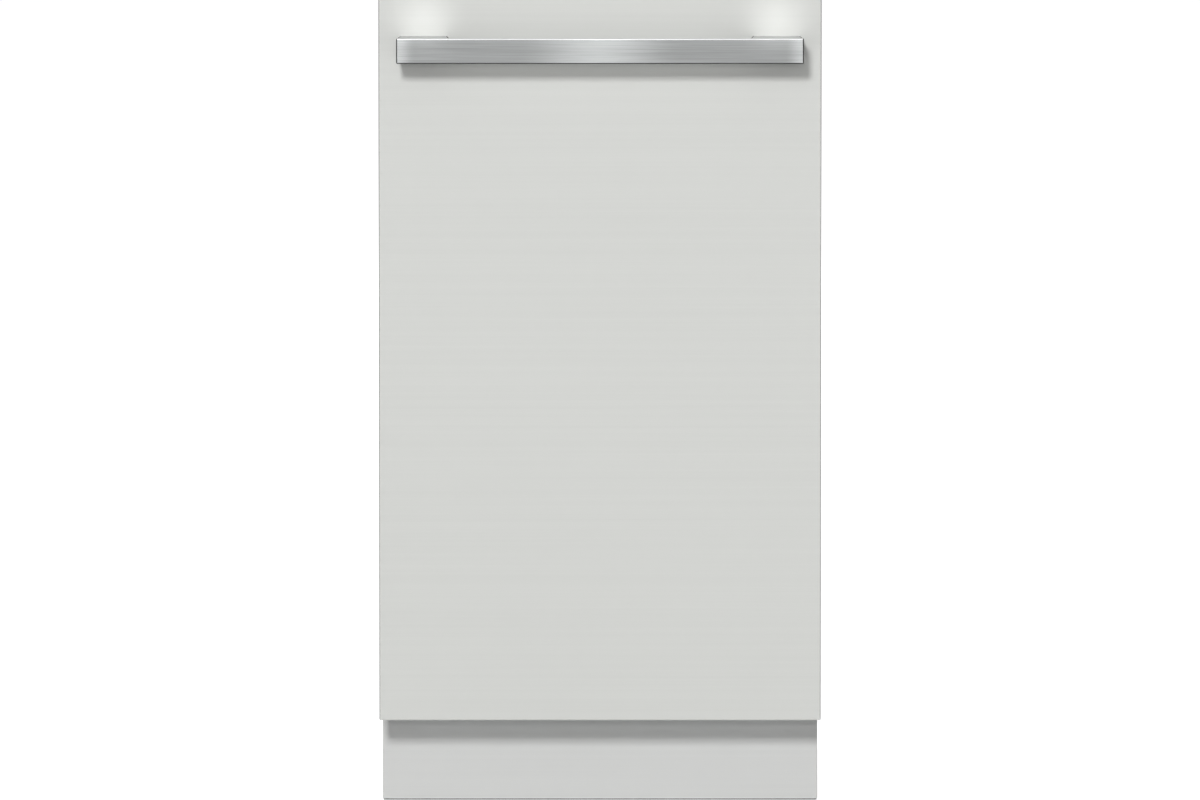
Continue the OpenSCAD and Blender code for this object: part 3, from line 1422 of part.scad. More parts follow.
// Inner rail members with the plates that carry the upper rack
module rail_inner() {
    x1 = rail_x1 - 2 * (rail_t + fit_gap);
    h = rail_h - 4 * (rail_t + fit_gap);
    half = adjuster_l / 2;
    color([0.34, 0.35, 0.36]) both_sides() {
        slab(x1 - rail_flange, x1, rail_y0, rail_y0 + inner_l, rail_z - h / 2, rail_z + h / 2);
        slab(carrier_x0, x1 - rail_flange, adjuster_y - half - 10, adjuster_y + half + 10,
            rail_z - h / 2, upper_z + upper_rack_h);
        slab(x1 - rail_flange - over, x1 - rail_flange + over, adjuster_y - half - 10,
            adjuster_y + half + 10, rail_z - h / 2, rail_z + h / 2);
        for (y = [adjuster_y - half - 5, adjuster_y + half + fit_gap])
            slab(rack_hw + fit_gap, carrier_x0 + over, y, y + 5 - fit_gap, rail_z - h / 2,
                upper_z + upper_rack_h);
    }
}

// Floor and walls are two solids that meet at the butt joints of the standing wires
module upper_rack() {
    joint_z = upper_z + layer + 3 * tine_d + 2;
    wall_z = joint_z + 0.05;
    top_z = upper_z + upper_rack_h;
    color([0.80, 0.81, 0.83]) {
        basket_floor(upper_rack_l, upper_z, joint_z);
        for (j = [4, 5]) tine_row(long_wire_x(j), rack_y0 + 60, rack_y0 + upper_rack_l - 60,
            upper_z + layer, 0.6 * tine_h);
        basket_walls(upper_rack_l, wall_z, top_z);
        basket_rings(upper_rack_l, upper_z, upper_rack_h);
        // Blocks that run up and down between the carrier plates
        both_sides() slab(rack_hw - 3, carrier_x0 - fit_gap, adjuster_y - adjuster_l / 2,
            adjuster_y + adjuster_l / 2, wall_z, top_z - 3);
        // Posts and lugs of the folding shelf
        for (y = [shelf_y0 - 4, shelf_y1 + 4]) {
            bar_z(wall_z, top_z, -rack_hw + wire_d / 2, y, tine_d);
            rod_lug(-rack_hw + wire_d / 2, shelf_x + 4, y, shelf_z - 4, shelf_x, shelf_z);
        }
    }
}

module cup_shelf() {
    x1 = shelf_x + shelf_w;
    color([0.72, 0.74, 0.78]) {
        bar_y(shelf_y0 - 8, shelf_y1 + 8, shelf_x, shelf_z, tine_d);
        bar_y(shelf_y0, shelf_y1, x1, shelf_z, tine_d);
        for (k = [0 : 7]) bar_x(shelf_x, x1, shelf_y0 + 2 + k * (shelf_y1 - shelf_y0 - 4) / 7,
            shelf_z, tine_d - 0.5);
    }
}

module middle_feed() {
    end_y = dock_y - 0.5;
    color([0.34, 0.35, 0.36]) {
        bar_y(hub_y, end_y, 0, feed_z, 2 * feed_r);
        bar_y(end_y - 6, end_y, 0, feed_z, 2 * feed_r + 4);
        bar_z(middle_arm_z - 3, feed_z + feed_r - 1, 0, hub_y, 2 * bearing_r);
        bar_z(middle_arm_z + arm_t + fit_gap, feed_z - 2, 0, hub_y, 2 * bearing_r + 6);
        bar_z(middle_arm_z - 4, middle_arm_z - fit_gap, 0, hub_y, 2 * bearing_r + 8);
    }
}

// Flat top tray: open rim, slotted floor, two combs that hold the cutlery on edge
module cutlery_tray() {
    z1 = tray_z + tray_h;
    hw = rack_hw;
    y1 = rack_y0 + tray_l;
    comb_h = 16;
    cols = floor((hw - 16) / slot_pitch);
    rows = floor((tray_l / 2 - 16) / slot_pitch);
    color([0.42, 0.43, 0.45]) {
        difference() {
            z_prism(tray_z, z1) round_rect(-hw, hw, rack_y0, y1, 22);
            z_prism(tray_z + tray_wall, z1 + over) round_rect(-hw + tray_wall, hw - tray_wall,
                rack_y0 + tray_wall, y1 - tray_wall, 22 - tray_wall);
            for (i = [-cols : cols], k = [-rows : rows])
                translate([i * slot_pitch, rack_y0 + tray_l / 2 + k * slot_pitch, tray_z - over])
                translate([3.5 - slot_pitch / 2, 3.5 - slot_pitch / 2, 0])
                cube([slot_pitch - 7, slot_pitch - 7, tray_wall + 2 * over]);
            // Grip in the front wall
            y_prism(rack_y0 - over, rack_y0 + tray_wall + over)
                round_rect(-60, 60, z1 - 14, z1 + 10, 6);
        }
        for (x = [-2, 2]) difference() {
            slab(x * slot_pitch - 1.5 + slot_pitch / 2, x * slot_pitch + 1.5 + slot_pitch / 2,
                rack_y0 + 30, y1 - 30, tray_z + 1, tray_z + tray_wall + comb_h);
            for (k = [0 : floor((tray_l - 76) / 13)]) translate([(x + 0.5) * slot_pitch - 3,
                rack_y0 + 36 + k * 13, tray_z + tray_wall + 5]) cube([6, 5, comb_h]);
        }
        // Side runners in the tray's rails
        both_sides() slab(hw - tray_wall / 2, rail_x1 - rail_t - fit_gap, rack_y0 + 24,
            rack_y0 + tray_l - 24, tray_rail_z - tray_rail_h / 2 + rail_t + fit_gap,
            tray_rail_z + tray_rail_h / 2 - rail_t - fit_gap);
    }
}

base_tray();
tub();
front_frame();
tub_gasket();
side_panel_left();
side_panel_right();
rear_panel();
top_cover();
insulation();
worktop_brackets();
toe_kick();
sump();
filter_plate();
filter_cylinder();
circulation_pump();
drain_pump();
water_softener();
salt_cap();
inlet_valve();
mains_inlet();
water_box();
control_box();
supply_tube();
rack_rails();
hinge_plates();
door_springs();
leak_float();
front_foot_left();
front_foot_right();
rear_foot();
lower_spray_arm();
top_spray_arm();
front_panel();
handle_bar();
handle_feet();
handle_screws();
outer_door();
inner_door();
control_strip();
hinge_arms();
latch_case();
latch_claw();
dispenser();
dispenser_lid();
rinse_cap();
power_button();
program_button();
start_button();
lower_rack();
wheel_mounts();
front_wheels();
rear_wheels();
fold_tines();
rail_middle();
rail_inner();
upper_rack();
cup_shelf();
middle_feed();
middle_spray_arm();
cutlery_tray();
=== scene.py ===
import math

import bmesh
import bpy
from bpy.props import FloatProperty, FloatVectorProperty, PointerProperty
from mathutils import Matrix, Vector


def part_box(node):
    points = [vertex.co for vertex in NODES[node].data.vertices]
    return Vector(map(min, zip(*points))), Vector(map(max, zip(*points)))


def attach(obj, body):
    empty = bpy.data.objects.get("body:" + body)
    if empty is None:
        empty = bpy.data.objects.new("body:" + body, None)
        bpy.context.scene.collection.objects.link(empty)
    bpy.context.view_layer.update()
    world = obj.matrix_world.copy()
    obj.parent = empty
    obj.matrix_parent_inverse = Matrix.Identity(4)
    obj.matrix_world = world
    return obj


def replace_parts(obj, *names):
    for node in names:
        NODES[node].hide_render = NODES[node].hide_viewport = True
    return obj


bl_info = {
    "name": "Slimline dishwasher",
    "version": (1, 0, 0),
    "blender": (4, 5, 0),
    "location": "3D view > Sidebar > Dishwasher",
    "description": "Dresses the packed dishwasher: steel front, handle, carcass, tub and racks",
    "category": "Object",
}

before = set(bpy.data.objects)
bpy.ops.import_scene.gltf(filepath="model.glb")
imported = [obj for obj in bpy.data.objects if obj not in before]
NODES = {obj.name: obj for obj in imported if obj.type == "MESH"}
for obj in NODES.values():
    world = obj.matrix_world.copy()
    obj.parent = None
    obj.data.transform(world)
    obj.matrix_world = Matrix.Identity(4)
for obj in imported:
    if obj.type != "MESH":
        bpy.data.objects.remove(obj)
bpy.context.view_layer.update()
FRONT_LO, FRONT_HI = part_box("front_panel")
BAR_LO, BAR_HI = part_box("handle_bar")
KICK_LO, KICK_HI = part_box("toe_kick")

MM = 0.001
ACROSS, BACK, UP = (1, 0, 0), (0, 1, 0), (0, 0, 1)
SIDES = (-1, 1)
# Connector recess at the rear: its wall, and the height where it ends
RECESS_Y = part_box("base_tray")[1].y - 20 * MM
RECESS_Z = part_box("rear_panel")[0].z


# Settings


def colour_setting(name, description, colour):
    return FloatVectorProperty(name=name, description=description, subtype="COLOR", size=3,
                               min=0.0, max=1.0, default=colour)


def length_setting(name, description, low, high, default):
    return FloatProperty(name=name, description=description, subtype="DISTANCE", unit="LENGTH",
                         min=low, max=high, default=default)


def power_setting(name, description, high, default):
    return FloatProperty(name=name, description=description, subtype="POWER", unit="POWER",
                         min=0.0, max=high, default=default)


class FrontSettings(bpy.types.PropertyGroup):
    """Sizes and colours of what shows from the front"""

    panel_colour: colour_setting(
        "Panel colour", "Satin steel of the front panel", (0.66, 0.668, 0.645))
    kick_colour: colour_setting(
        "Toe kick colour", "Satin steel of the toe kick", (0.64, 0.645, 0.635))
    handle_colour: colour_setting(
        "Handle colour", "Brushed steel of the handle bar", (0.238, 0.245, 0.244))
    panel_edge: length_setting(
        "Panel edge radius", "Radius of the folded edges of the front panel",
        0.0002, 0.004, 0.0012)
    handle_edge: length_setting(
        "Handle edge radius", "Radius of the bar's long edges", 0.0002, 0.004, 0.0014)
    hem_depth: length_setting(
        "Hem depth", "Depth of the steel skin's folded sides", 0.005, 0.0195, 0.0172)


class InsideSettings(bpy.types.PropertyGroup):
    """Colours of the carcass and of what shows with the door open"""

    sheet_colour: colour_setting(
        "Sheet colour", "Zinc coated sheet of the carcass", (0.47, 0.49, 0.50))
    tub_colour: colour_setting(
        "Tub colour", "Stainless steel of the tub", (0.58, 0.59, 0.60))
    wire_colour: colour_setting(
        "Wire colour", "Coating of the rack wires", (0.50, 0.53, 0.56))
    moulding_colour: colour_setting(
        "Moulding colour", "Dark moulded plastic", (0.035, 0.036, 0.038))
    grey_colour: colour_setting(
        "Grey plastic colour", "Mid grey moulded plastic", (0.17, 0.18, 0.19))
    white_colour: colour_setting(
        "Pale plastic colour", "Off-white moulded plastic", (0.70, 0.70, 0.67))


class StageSettings(bpy.types.PropertyGroup):
    """Floor, lamps and camera"""

    floor_colour: colour_setting(
        "Floor colour", "Colour of the floor", (0.86, 0.86, 0.86))
    camera_distance: length_setting(
        "Camera distance", "Distance from the front panel", 2.0, 40.0, 14.0)
    camera_elevation: FloatProperty(
        name="Camera elevation", description="Angle of the camera above the horizon",
        subtype="ANGLE", unit="ROTATION", min=-0.5, max=1.5, default=math.radians(5.0))
    picture_width: length_setting(
        "Picture width", "Width that the picture shows at the front panel", 0.2, 5.0, 1.2158)
    aim_height: length_setting(
        "Aim height", "Height on the front panel in the middle of the picture",
        0.0, 2.0, 0.4154)
    key_power: power_setting(
        "Key lamp", "Power of the main lamp, high on the left", 4000.0, 790.0)
    fill_power: power_setting(
        "Fill lamp", "Power of the lamp beside the camera", 4000.0, 98.0)
    rear_power: power_setting(
        "Rear lamps", "Power of each lamp behind the machine", 4000.0, 130.0)
    spot_power: power_setting(
        "Spots", "Power of each spot on the panel above a handle foot", 1000.0, 110.0)
    sky_strength: FloatProperty(
        name="Sky strength", description="Even light from all round", subtype="FACTOR",
        min=0.0, max=2.0, default=0.17)
    floor_glow: FloatProperty(
        name="Floor glow", description="Light that the floor adds where it is seen",
        subtype="FACTOR", min=0.0, max=1.0, default=0.84)


# Shader nodes


# Sockets of a Mix node that hold colours
MIX_A, MIX_B, MIX_RESULT = 6, 7, 2


def put(tree, socket, value):
    """Sets a socket, or links it where the value is another node's output"""
    if isinstance(value, bpy.types.NodeSocket):
        tree.links.new(value, socket)
    else:
        socket.default_value = value


def feed(tree, node, **values):
    """Fills a node's inputs by their names, with underscores for spaces"""
    for label, value in values.items():
        put(tree, node.inputs[label.replace("_", " ")], value)
    return node


def noise(tree, vector, scale, detail, roughness, distortion=0.0):
    """Outputs of a noise texture"""
    node = tree.nodes.new("ShaderNodeTexNoise")
    return feed(tree, node, Vector=vector, Scale=scale, Detail=detail, Roughness=roughness,
                Distortion=distortion).outputs


def cells(tree, vector, scale):
    """Outputs of a texture of irregular cells"""
    node = tree.nodes.new("ShaderNodeTexVoronoi")
    return feed(tree, node, Vector=vector, Scale=scale).outputs


def operation_node(tree, kind, operation, values):
    """Result of a node that calculates with numbers or sockets"""
    node = tree.nodes.new(kind)
    node.operation = operation
    for socket, value in zip(node.inputs, values):
        put(tree, socket, value)
    return node.outputs[0]


def math_node(tree, operation, *values):
    return operation_node(tree, "ShaderNodeMath", operation, values)


def vector_node(tree, operation, *values):
    return operation_node(tree, "ShaderNodeVectorMath", operation, values)


def range_node(tree, value, low, high, to_low=0.0, to_high=1.0, smooth=False):
    """Value moved from one range into another, and kept inside it"""
    node = tree.nodes.new("ShaderNodeMapRange")
    node.interpolation_type = "SMOOTHSTEP" if smooth else "LINEAR"
    return feed(tree, node, Value=value, From_Min=low, From_Max=high, To_Min=to_low,
                To_Max=to_high).outputs["Result"]


def split_place(tree, place):
    """X, Y and Z of a place"""
    node = tree.nodes.new("ShaderNodeSeparateXYZ")
    put(tree, node.inputs[0], place)
    return node.outputs


def mixed_colour(tree, factor, dark, light, blend="MIX"):
    """Colour that goes from dark to light with the factor"""
    node = tree.nodes.new("ShaderNodeMix")
    node.data_type = "RGBA"
    node.blend_type = blend
    for key, value in (("Factor", factor), (MIX_A, dark), (MIX_B, light)):
        put(tree, node.inputs[key], value)
    return node.outputs[MIX_RESULT]


def weighted(tree, first, second, share):
    """share of the first value and the rest of the second"""
    return math_node(tree, "ADD", math_node(tree, "MULTIPLY", first, share),
                     math_node(tree, "MULTIPLY", second, 1.0 - share))


def bump(tree, height, strength, distance):
    """Normal bent by a height"""
    node = tree.nodes.new("ShaderNodeBump")
    return feed(tree, node, Strength=strength, Distance=distance, Height=height).outputs["Normal"]


# Shared shader effects


def new_group(name, inputs, outputs):
    """Node group; an input's default tells its kind, and each output is a number"""
    group = bpy.data.node_groups.new(name, "ShaderNodeTree")
    for label, value in inputs.items():
        kind = "NodeSocketFloat" if isinstance(value, float) else "NodeSocketVector"
        socket = group.interface.new_socket(label, in_out="INPUT", socket_type=kind)
        socket.default_value = value
    for label in outputs:
        group.interface.new_socket(label, in_out="OUTPUT", socket_type="NodeSocketFloat")
    taken, given = group.nodes.new("NodeGroupInput"), group.nodes.new("NodeGroupOutput")
    return group, taken.outputs, given


ORIGIN = (0.0, 0.0, 0.0)


def build_grain_lines():
    """Fine parallel lines, as left by a brush or a roll; Stretch is high across the lines"""
    group, taken, given = new_group(
        "Grain Lines", {"Vector": ORIGIN, "Stretch": (6.0, 900.0, 900.0)}, ("Lines", "Streaks"))
    place = vector_node(group, "MULTIPLY", taken["Vector"], taken["Stretch"])
    fine = noise(group, place, scale=1.0, detail=3.0, roughness=0.65)
    broad = noise(group, place, scale=0.16, detail=2.0, roughness=0.5)
    feed(group, given, Lines=range_node(group, fine["Fac"], 0.3, 0.7),
         Streaks=range_node(group, broad["Fac"], 0.35, 0.65))
    return group


def build_soft_cloud():
    """Broad, soft change of tone over a surface"""
    group, taken, given = new_group("Soft Cloud", {"Vector": ORIGIN, "Size": 5.0}, ("Cloud",))
    cloud = noise(group, taken["Vector"], taken["Size"], detail=2.0, roughness=0.5)
    feed(group, given, Cloud=range_node(group, cloud["Fac"], 0.3, 0.7))
    return group


def build_moulded_grain():
    """Spark-eroded texture of moulded plastic and fine pits of castings"""
    group, taken, given = new_group(
        "Moulded Grain", {"Vector": ORIGIN, "Density": 900.0}, ("Height",))
    grain = noise(group, taken["Vector"], taken["Density"], detail=4.0, roughness=0.6)
    feed(group, given, Height=grain["Fac"])
    return group


def build_spangle():
    """Crystal pattern of hot-dip zinc, with uneven borders"""
    group, taken, given = new_group(
        "Zinc Spangle", {"Vector": ORIGIN, "Density": 90.0}, ("Tone", "Edge"))
    bent = noise(group, taken["Vector"], scale=60.0, detail=2.0, roughness=0.6)
    sway = 0.006
    moved = vector_node(group, "MULTIPLY_ADD", bent["Color"], (sway, sway, sway),
                        taken["Vector"])
    crystals = cells(group, moved, taken["Density"])
    tone = group.nodes.new("ShaderNodeSeparateColor")
    put(group, tone.inputs[0], crystals["Color"])
    feed(group, given, Tone=tone.outputs[0], Edge=crystals["Distance"])
    return group


def build_fibres():
    """Matted fibres of felt"""
    group, taken, given = new_group(
        "Felt Fibres", {"Vector": ORIGIN, "Density": 260.0}, ("Height", "Flecks"))
    mat = noise(group, taken["Vector"], taken["Density"], detail=6.0, roughness=0.75,
                distortion=2.5)
    flecks = noise(group, taken["Vector"], scale=700.0, detail=2.0, roughness=0.5)
    feed(group, given, Height=mat["Fac"], Flecks=range_node(group, flecks["Fac"], 0.62, 0.7))
    return group


def build_woven_mesh():
    """Square holes of a woven or etched metal mesh; Pitch is the number of holes in a metre"""
    group, taken, given = new_group(
        "Woven Mesh", {"Across": 0.0, "Up": 0.0, "Pitch": 900.0}, ("Holes",))
    waves = []
    for label in ("Across", "Up"):
        turn = math_node(group, "MULTIPLY", taken[label], taken["Pitch"])
        wave = math_node(group, "SINE", math_node(group, "MULTIPLY", turn, 2 * math.pi))
        waves.append(range_node(group, wave, -0.2, 0.5))
    feed(group, given, Holes=math_node(group, "MULTIPLY", *waves))
    return group


EFFECTS = {
    "Grain Lines": build_grain_lines, "Soft Cloud": build_soft_cloud,
    "Moulded Grain": build_moulded_grain, "Zinc Spangle": build_spangle,
    "Felt Fibres": build_fibres, "Woven Mesh": build_woven_mesh,
}


def own_place(tree):
    """The object's own coordinates"""
    node = tree.nodes.get("Texture Coordinate") or tree.nodes.new("ShaderNodeTexCoord")
    return node.outputs["Object"]


def place_effect(tree, name, **values):
    """Outputs of a shared effect, which is built when it is first asked for"""
    node = tree.nodes.new("ShaderNodeGroup")
    node.node_tree = bpy.data.node_groups.get(name) or EFFECTS[name]()
    if node.inputs.get("Vector"):
        put(tree, node.inputs["Vector"], own_place(tree))
    return feed(tree, node, **values).outputs


# Materials


def start_material(name, roughness, metallic=0.0, coat=0.0, specular=0.5):
    """Material and its Principled shader"""
    material = bpy.data.materials.new(name)
    material.use_nodes = True
    tree = material.node_tree
    shader = feed(tree, tree.nodes["Principled BSDF"], Roughness=roughness, Metallic=metallic,
                  Coat_Weight=coat, Specular_IOR_Level=specular)
    return material, tree, shader


def tint(colour, factor):
    """Colour made lighter or darker, with alpha"""
    return tuple(min(1.0, channel * factor) for channel in colour[:3]) + (1.0,)


def toned(tree, shade, colour, low, high):
    """Colour that a mask takes from a darker tone to a lighter one"""
    return mixed_colour(tree, shade, tint(colour, low), tint(colour, high))


def brushed_metal(name, colour, stretch, roughness, spread, tone, metallic, depth=0.00006,
                  cloud=4.0, specular=0.5):
    """Brushed or satin metal; stretch says which way the brushing runs"""
    material, tree, shader = start_material(name, roughness, metallic, specular=specular)
    grain = place_effect(tree, "Grain Lines", Stretch=stretch)
    soft = place_effect(tree, "Soft Cloud", Size=cloud)
    both = weighted(tree, grain["Lines"], grain["Streaks"], share=0.6)
    shade = weighted(tree, both, soft["Cloud"], share=0.75)
    feed(tree, shader, Base_Color=toned(tree, shade, colour, 1 - tone, 1 + tone),
         Roughness=range_node(tree, shade, 0.0, 1.0, roughness + spread / 2,
                              roughness - spread / 2),
         Normal=bump(tree, grain["Lines"], 0.35, depth))
    return material


def moulded_plastic(name, colour, roughness, density, tone, depth=0.00005, coat=0.0,
                    strength=0.25):
    """Moulded plastic or a plastic coating, with a fine grain"""
    material, tree, shader = start_material(name, roughness, coat=coat)
    grain = place_effect(tree, "Moulded Grain", Density=density)
    soft = place_effect(tree, "Soft Cloud", Size=9.0)
    shade = weighted(tree, grain["Height"], soft["Cloud"], share=0.4)
    spread = 0.06
    feed(tree, shader, Base_Color=toned(tree, shade, colour, 1 - tone, 1 + tone),
         Roughness=range_node(tree, shade, 0.0, 1.0, roughness + spread, roughness - spread),
         Normal=bump(tree, grain["Height"], strength, depth))
    return material


def zinc_sheet(name, colour):
    """Rolled sheet with the crystals of its zinc coat"""
    material, tree, shader = start_material(name, 0.5, metallic=0.55)
    spangle = place_effect(tree, "Zinc Spangle", Density=70.0)
    soft = place_effect(tree, "Soft Cloud", Size=3.0)
    rolled = place_effect(tree, "Grain Lines", Stretch=(500.0, 500.0, 2.0))
    crystals = weighted(tree, spangle["Tone"], soft["Cloud"], share=0.6)
    shade = weighted(tree, crystals, rolled["Streaks"], share=0.8)
    feed(tree, shader, Base_Color=toned(tree, shade, colour, 0.93, 1.07),
         Roughness=range_node(tree, shade, 0.0, 1.0, 0.56, 0.42),
         Normal=bump(tree, spangle["Edge"], 0.08, 0.0001))
    return material


def plated_steel(name, colour, roughness):
    """Plating that goes from cool to warm in soft clouds"""
    material, tree, shader = start_material(name, roughness, metallic=0.85)
    grain = place_effect(tree, "Moulded Grain", Density=420.0)
    soft = place_effect(tree, "Soft Cloud", Size=25.0)
    red, green, blue = colour
    warm = (red * 1.10, green * 1.07, blue * 0.98, 1.0)
    feed(tree, shader, Base_Color=mixed_colour(tree, soft["Cloud"], tint(colour, 0.86), warm),
         Roughness=range_node(tree, grain["Height"], 0.2, 0.8, roughness - 0.08,
                              roughness + 0.12),
         Normal=bump(tree, grain["Height"], 0.12, 0.00008))
    return material


def felt_cloth(name, colour):
    """Matted felt with pale flecks"""
    material, tree, shader = start_material(name, 0.92, specular=0.2)
    fibres = place_effect(tree, "Felt Fibres")
    base = toned(tree, fibres["Height"], colour, 0.55, 1.5)
    feed(tree, shader, Sheen_Weight=0.25,
         Base_Color=mixed_colour(tree, fibres["Flecks"], base, tint(colour, 3.2)),
         Normal=bump(tree, fibres["Height"], 0.8, 0.0006))
    return material


def seal_rubber(name, colour):
    """Black rubber with a worn bloom in soft clouds"""
    material, tree, shader = start_material(name, 0.62, specular=0.35)
    grain = place_effect(tree, "Moulded Grain", Density=600.0)
    soft = place_effect(tree, "Soft Cloud", Size=14.0)
    feed(tree, shader, Base_Color=toned(tree, soft["Cloud"], colour, 0.8, 1.5),
         Roughness=range_node(tree, grain["Height"], 0.2, 0.8, 0.52, 0.74),
         Normal=bump(tree, grain["Height"], 0.3, 0.0001))
    return material


def handle_steel(name, colour):
    """Lengthwise brushing, with a painted sheen: a bright band in the middle and brighter ends,
    painted into the colour along the bar
    """
    material, tree, shader = start_material(name, 0.33, metallic=0.8)
    grain = place_effect(tree, "Grain Lines", Stretch=(9.0, 800.0, 800.0))
    across = math_node(tree, "ABSOLUTE", split_place(tree, own_place(tree))["X"])
    # Painted reflection: the middle band and the ends are lightened by place along the bar, not by
    # any lamp
    band_half, ends_from, ends_to = 85 * MM, 186 * MM, 206 * MM
    middle = range_node(tree, across, 0.0, band_half, 1.0, 0.0, smooth=True)
    ends = range_node(tree, across, ends_from, ends_to, smooth=True)
    painted_lit = toned(tree, math_node(tree, "MAXIMUM", middle, ends), colour, 0.84, 1.42)
    shade = weighted(tree, grain["Lines"], grain["Streaks"], share=0.7)
    brushing = mixed_colour(tree, shade, (0.72, 0.72, 0.72, 1.0), (1.08, 1.08, 1.08, 1.0))
    feed(tree, shader, Base_Color=mixed_colour(tree, 1.0, painted_lit, brushing, "MULTIPLY"),
         Roughness=range_node(tree, shade, 0.0, 1.0, 0.42, 0.28),
         Normal=bump(tree, grain["Lines"], 0.4, 0.00005))
    return material


def filter_mesh(name, colour, centre_y, radius):
    """Etched micro mesh on a cylinder round an upright axis"""
    material, tree, shader = start_material(name, 0.4, metallic=0.7)
    place = split_place(tree, own_place(tree))
    angle = math_node(tree, "ARCTAN2", math_node(tree, "SUBTRACT", place["Y"], centre_y),
                      place["X"])
    holes = place_effect(tree, "Woven Mesh", Up=place["Z"], Pitch=700.0,
                         Across=math_node(tree, "MULTIPLY", angle, radius))["Holes"]
    feed(tree, shader, Base_Color=toned(tree, holes, colour, 1.0, 0.18),
         Roughness=range_node(tree, holes, 0.0, 1.0, 0.34, 0.7),
         Normal=bump(tree, math_node(tree, "SUBTRACT", 1.0, holes), 0.5, 0.0002))
    return material


def dark_glass(name):
    """Near-black window with a slight haze"""
    material, tree, shader = start_material(name, 0.08, coat=0.6)
    cloud = place_effect(tree, "Soft Cloud", Size=40.0)["Cloud"]
    feed(tree, shader, Base_Color=mixed_colour(tree, cloud, (0.008, 0.008, 0.010, 1.0),
                                               (0.016, 0.017, 0.020, 1.0)),
         Roughness=range_node(tree, cloud, 0.0, 1.0, 0.06, 0.13))
    return material


FINISHES = {}


def make_finishes(front, inside):
    """All materials, from the settings"""
    lengthwise, upright, inward = (900.0, 900.0, 6.0), (620.0, 620.0, 5.0), (900.0, 6.0, 900.0)
    front_brushing, bar_brushing = (3.0, 900.0, 900.0), (6.0, 900.0, 900.0)
    satin = dict(roughness=0.68, spread=0.05, tone=0.022, metallic=0.05, depth=0.00002,
                 cloud=2.2)
    for key, name, colour, stretch, values in (
            ("front", "Satin front steel", front.panel_colour, front_brushing, satin),
            ("kick", "Satin kick steel", front.kick_colour, front_brushing, satin),
            # Painted highlight and painted shade: lighter and darker copies of the handle steel,
            # for faces that look up or back and those that look down or sideways
            ("handle_painted_highlight", "Painted highlight handle steel", (0.70, 0.71, 0.71), bar_brushing,
             dict(roughness=0.34, spread=0.08, tone=0.05, metallic=0.8)),
            ("handle_shade_painted", "Painted shade handle steel", (0.05, 0.051, 0.051), bar_brushing,
             dict(roughness=0.8, spread=0.08, tone=0.08, metallic=0.0, specular=0.0)),
            # Painted shade for the front panel's sides
            ("edge_shade_painted", "Painted shade edge steel", (0.26, 0.263, 0.258), lengthwise,
             dict(roughness=0.6, spread=0.08, tone=0.05, metallic=0.1, specular=0.15)),
            ("bracket", "Satin bracket steel", (0.56, 0.565, 0.56), inward,
             dict(roughness=0.42, spread=0.06, tone=0.04, metallic=0.5, depth=0.00001,
                  specular=0.2)),
            ("tub", "Stainless tub steel", inside.tub_colour, upright,
             dict(roughness=0.34, spread=0.12, tone=0.07, metallic=0.92)),
            ("door", "Stainless door steel", inside.tub_colour, upright,
             dict(roughness=0.42, spread=0.10, tone=0.06, metallic=0.85)),
            ("arm", "Stainless arm steel", (0.52, 0.54, 0.56), (420.0, 420.0, 420.0),
             dict(roughness=0.3, spread=0.12, tone=0.06, metallic=0.9))):
        FINISHES[key] = brushed_metal(name, colour, stretch, **values)
    coated = dict(roughness=0.33, density=500.0, tone=0.06, depth=0.00004, coat=0.2)
    for key, name, colour, values in (
            ("wire", "Coated rack wire", inside.wire_colour, coated),
            ("tine", "Coated tine wire", (0.36, 0.40, 0.45), coated),
            ("dark", "Dark moulding", inside.moulding_colour,
             dict(roughness=0.5, density=800.0, tone=0.14, depth=0.00010)),
            ("grey", "Grey moulding", inside.grey_colour,
             dict(roughness=0.46, density=800.0, tone=0.10, depth=0.00008)),
            ("wheel", "Wheel moulding", (0.10, 0.11, 0.12),
             dict(roughness=0.42, density=900.0, tone=0.10)),
            ("pale", "Pale moulding", inside.white_colour,
             dict(roughness=0.4, density=700.0, tone=0.05)),
            ("lid", "Lid moulding", (0.46, 0.47, 0.48),
             dict(roughness=0.36, density=900.0, tone=0.06)),
            ("cap", "Cap moulding", (0.10, 0.17, 0.27),
             dict(roughness=0.38, density=900.0, tone=0.08)),
            ("strip", "Strip moulding", (0.075, 0.078, 0.082),
             dict(roughness=0.26, density=1400.0, tone=0.08, depth=0.00003, coat=0.25,
                  strength=0.15)),
            ("button", "Button moulding", (0.022, 0.022, 0.024),
             dict(roughness=0.3, density=1400.0, tone=0.12, depth=0.00003, coat=0.2,
                  strength=0.15)),
            ("foot", "Foot moulding", (0.025, 0.025, 0.026),
             dict(roughness=0.58, density=500.0, tone=0.2, depth=0.00012))):
        FINISHES[key] = moulded_plastic(name, colour, **values)
    for key, name, colour, roughness in (
            ("plated", "Plated steel", (0.48, 0.49, 0.50), 0.36),
            ("spring", "Spring steel", (0.28, 0.28, 0.29), 0.3),
            ("brass", "Contact brass", (0.62, 0.50, 0.28), 0.3)):
        FINISHES[key] = plated_steel(name, colour, roughness)
    FINISHES["handle"] = handle_steel("Brushed handle steel with painted sheen", front.handle_colour)
    FINISHES["sheet"] = zinc_sheet("Zinc coated sheet", inside.sheet_colour)
    FINISHES["rubber"] = seal_rubber("Seal rubber", (0.022, 0.022, 0.023))
    FINISHES["felt"] = felt_cloth("Sound felt", (0.045, 0.045, 0.048))
    lo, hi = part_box("filter_cylinder")
    FINISHES["mesh"] = filter_mesh("Filter mesh", (0.45, 0.46, 0.47), (lo.y + hi.y) / 2,
                                   38 * MM)
    FINISHES["glass"] = dark_glass("Display glass")


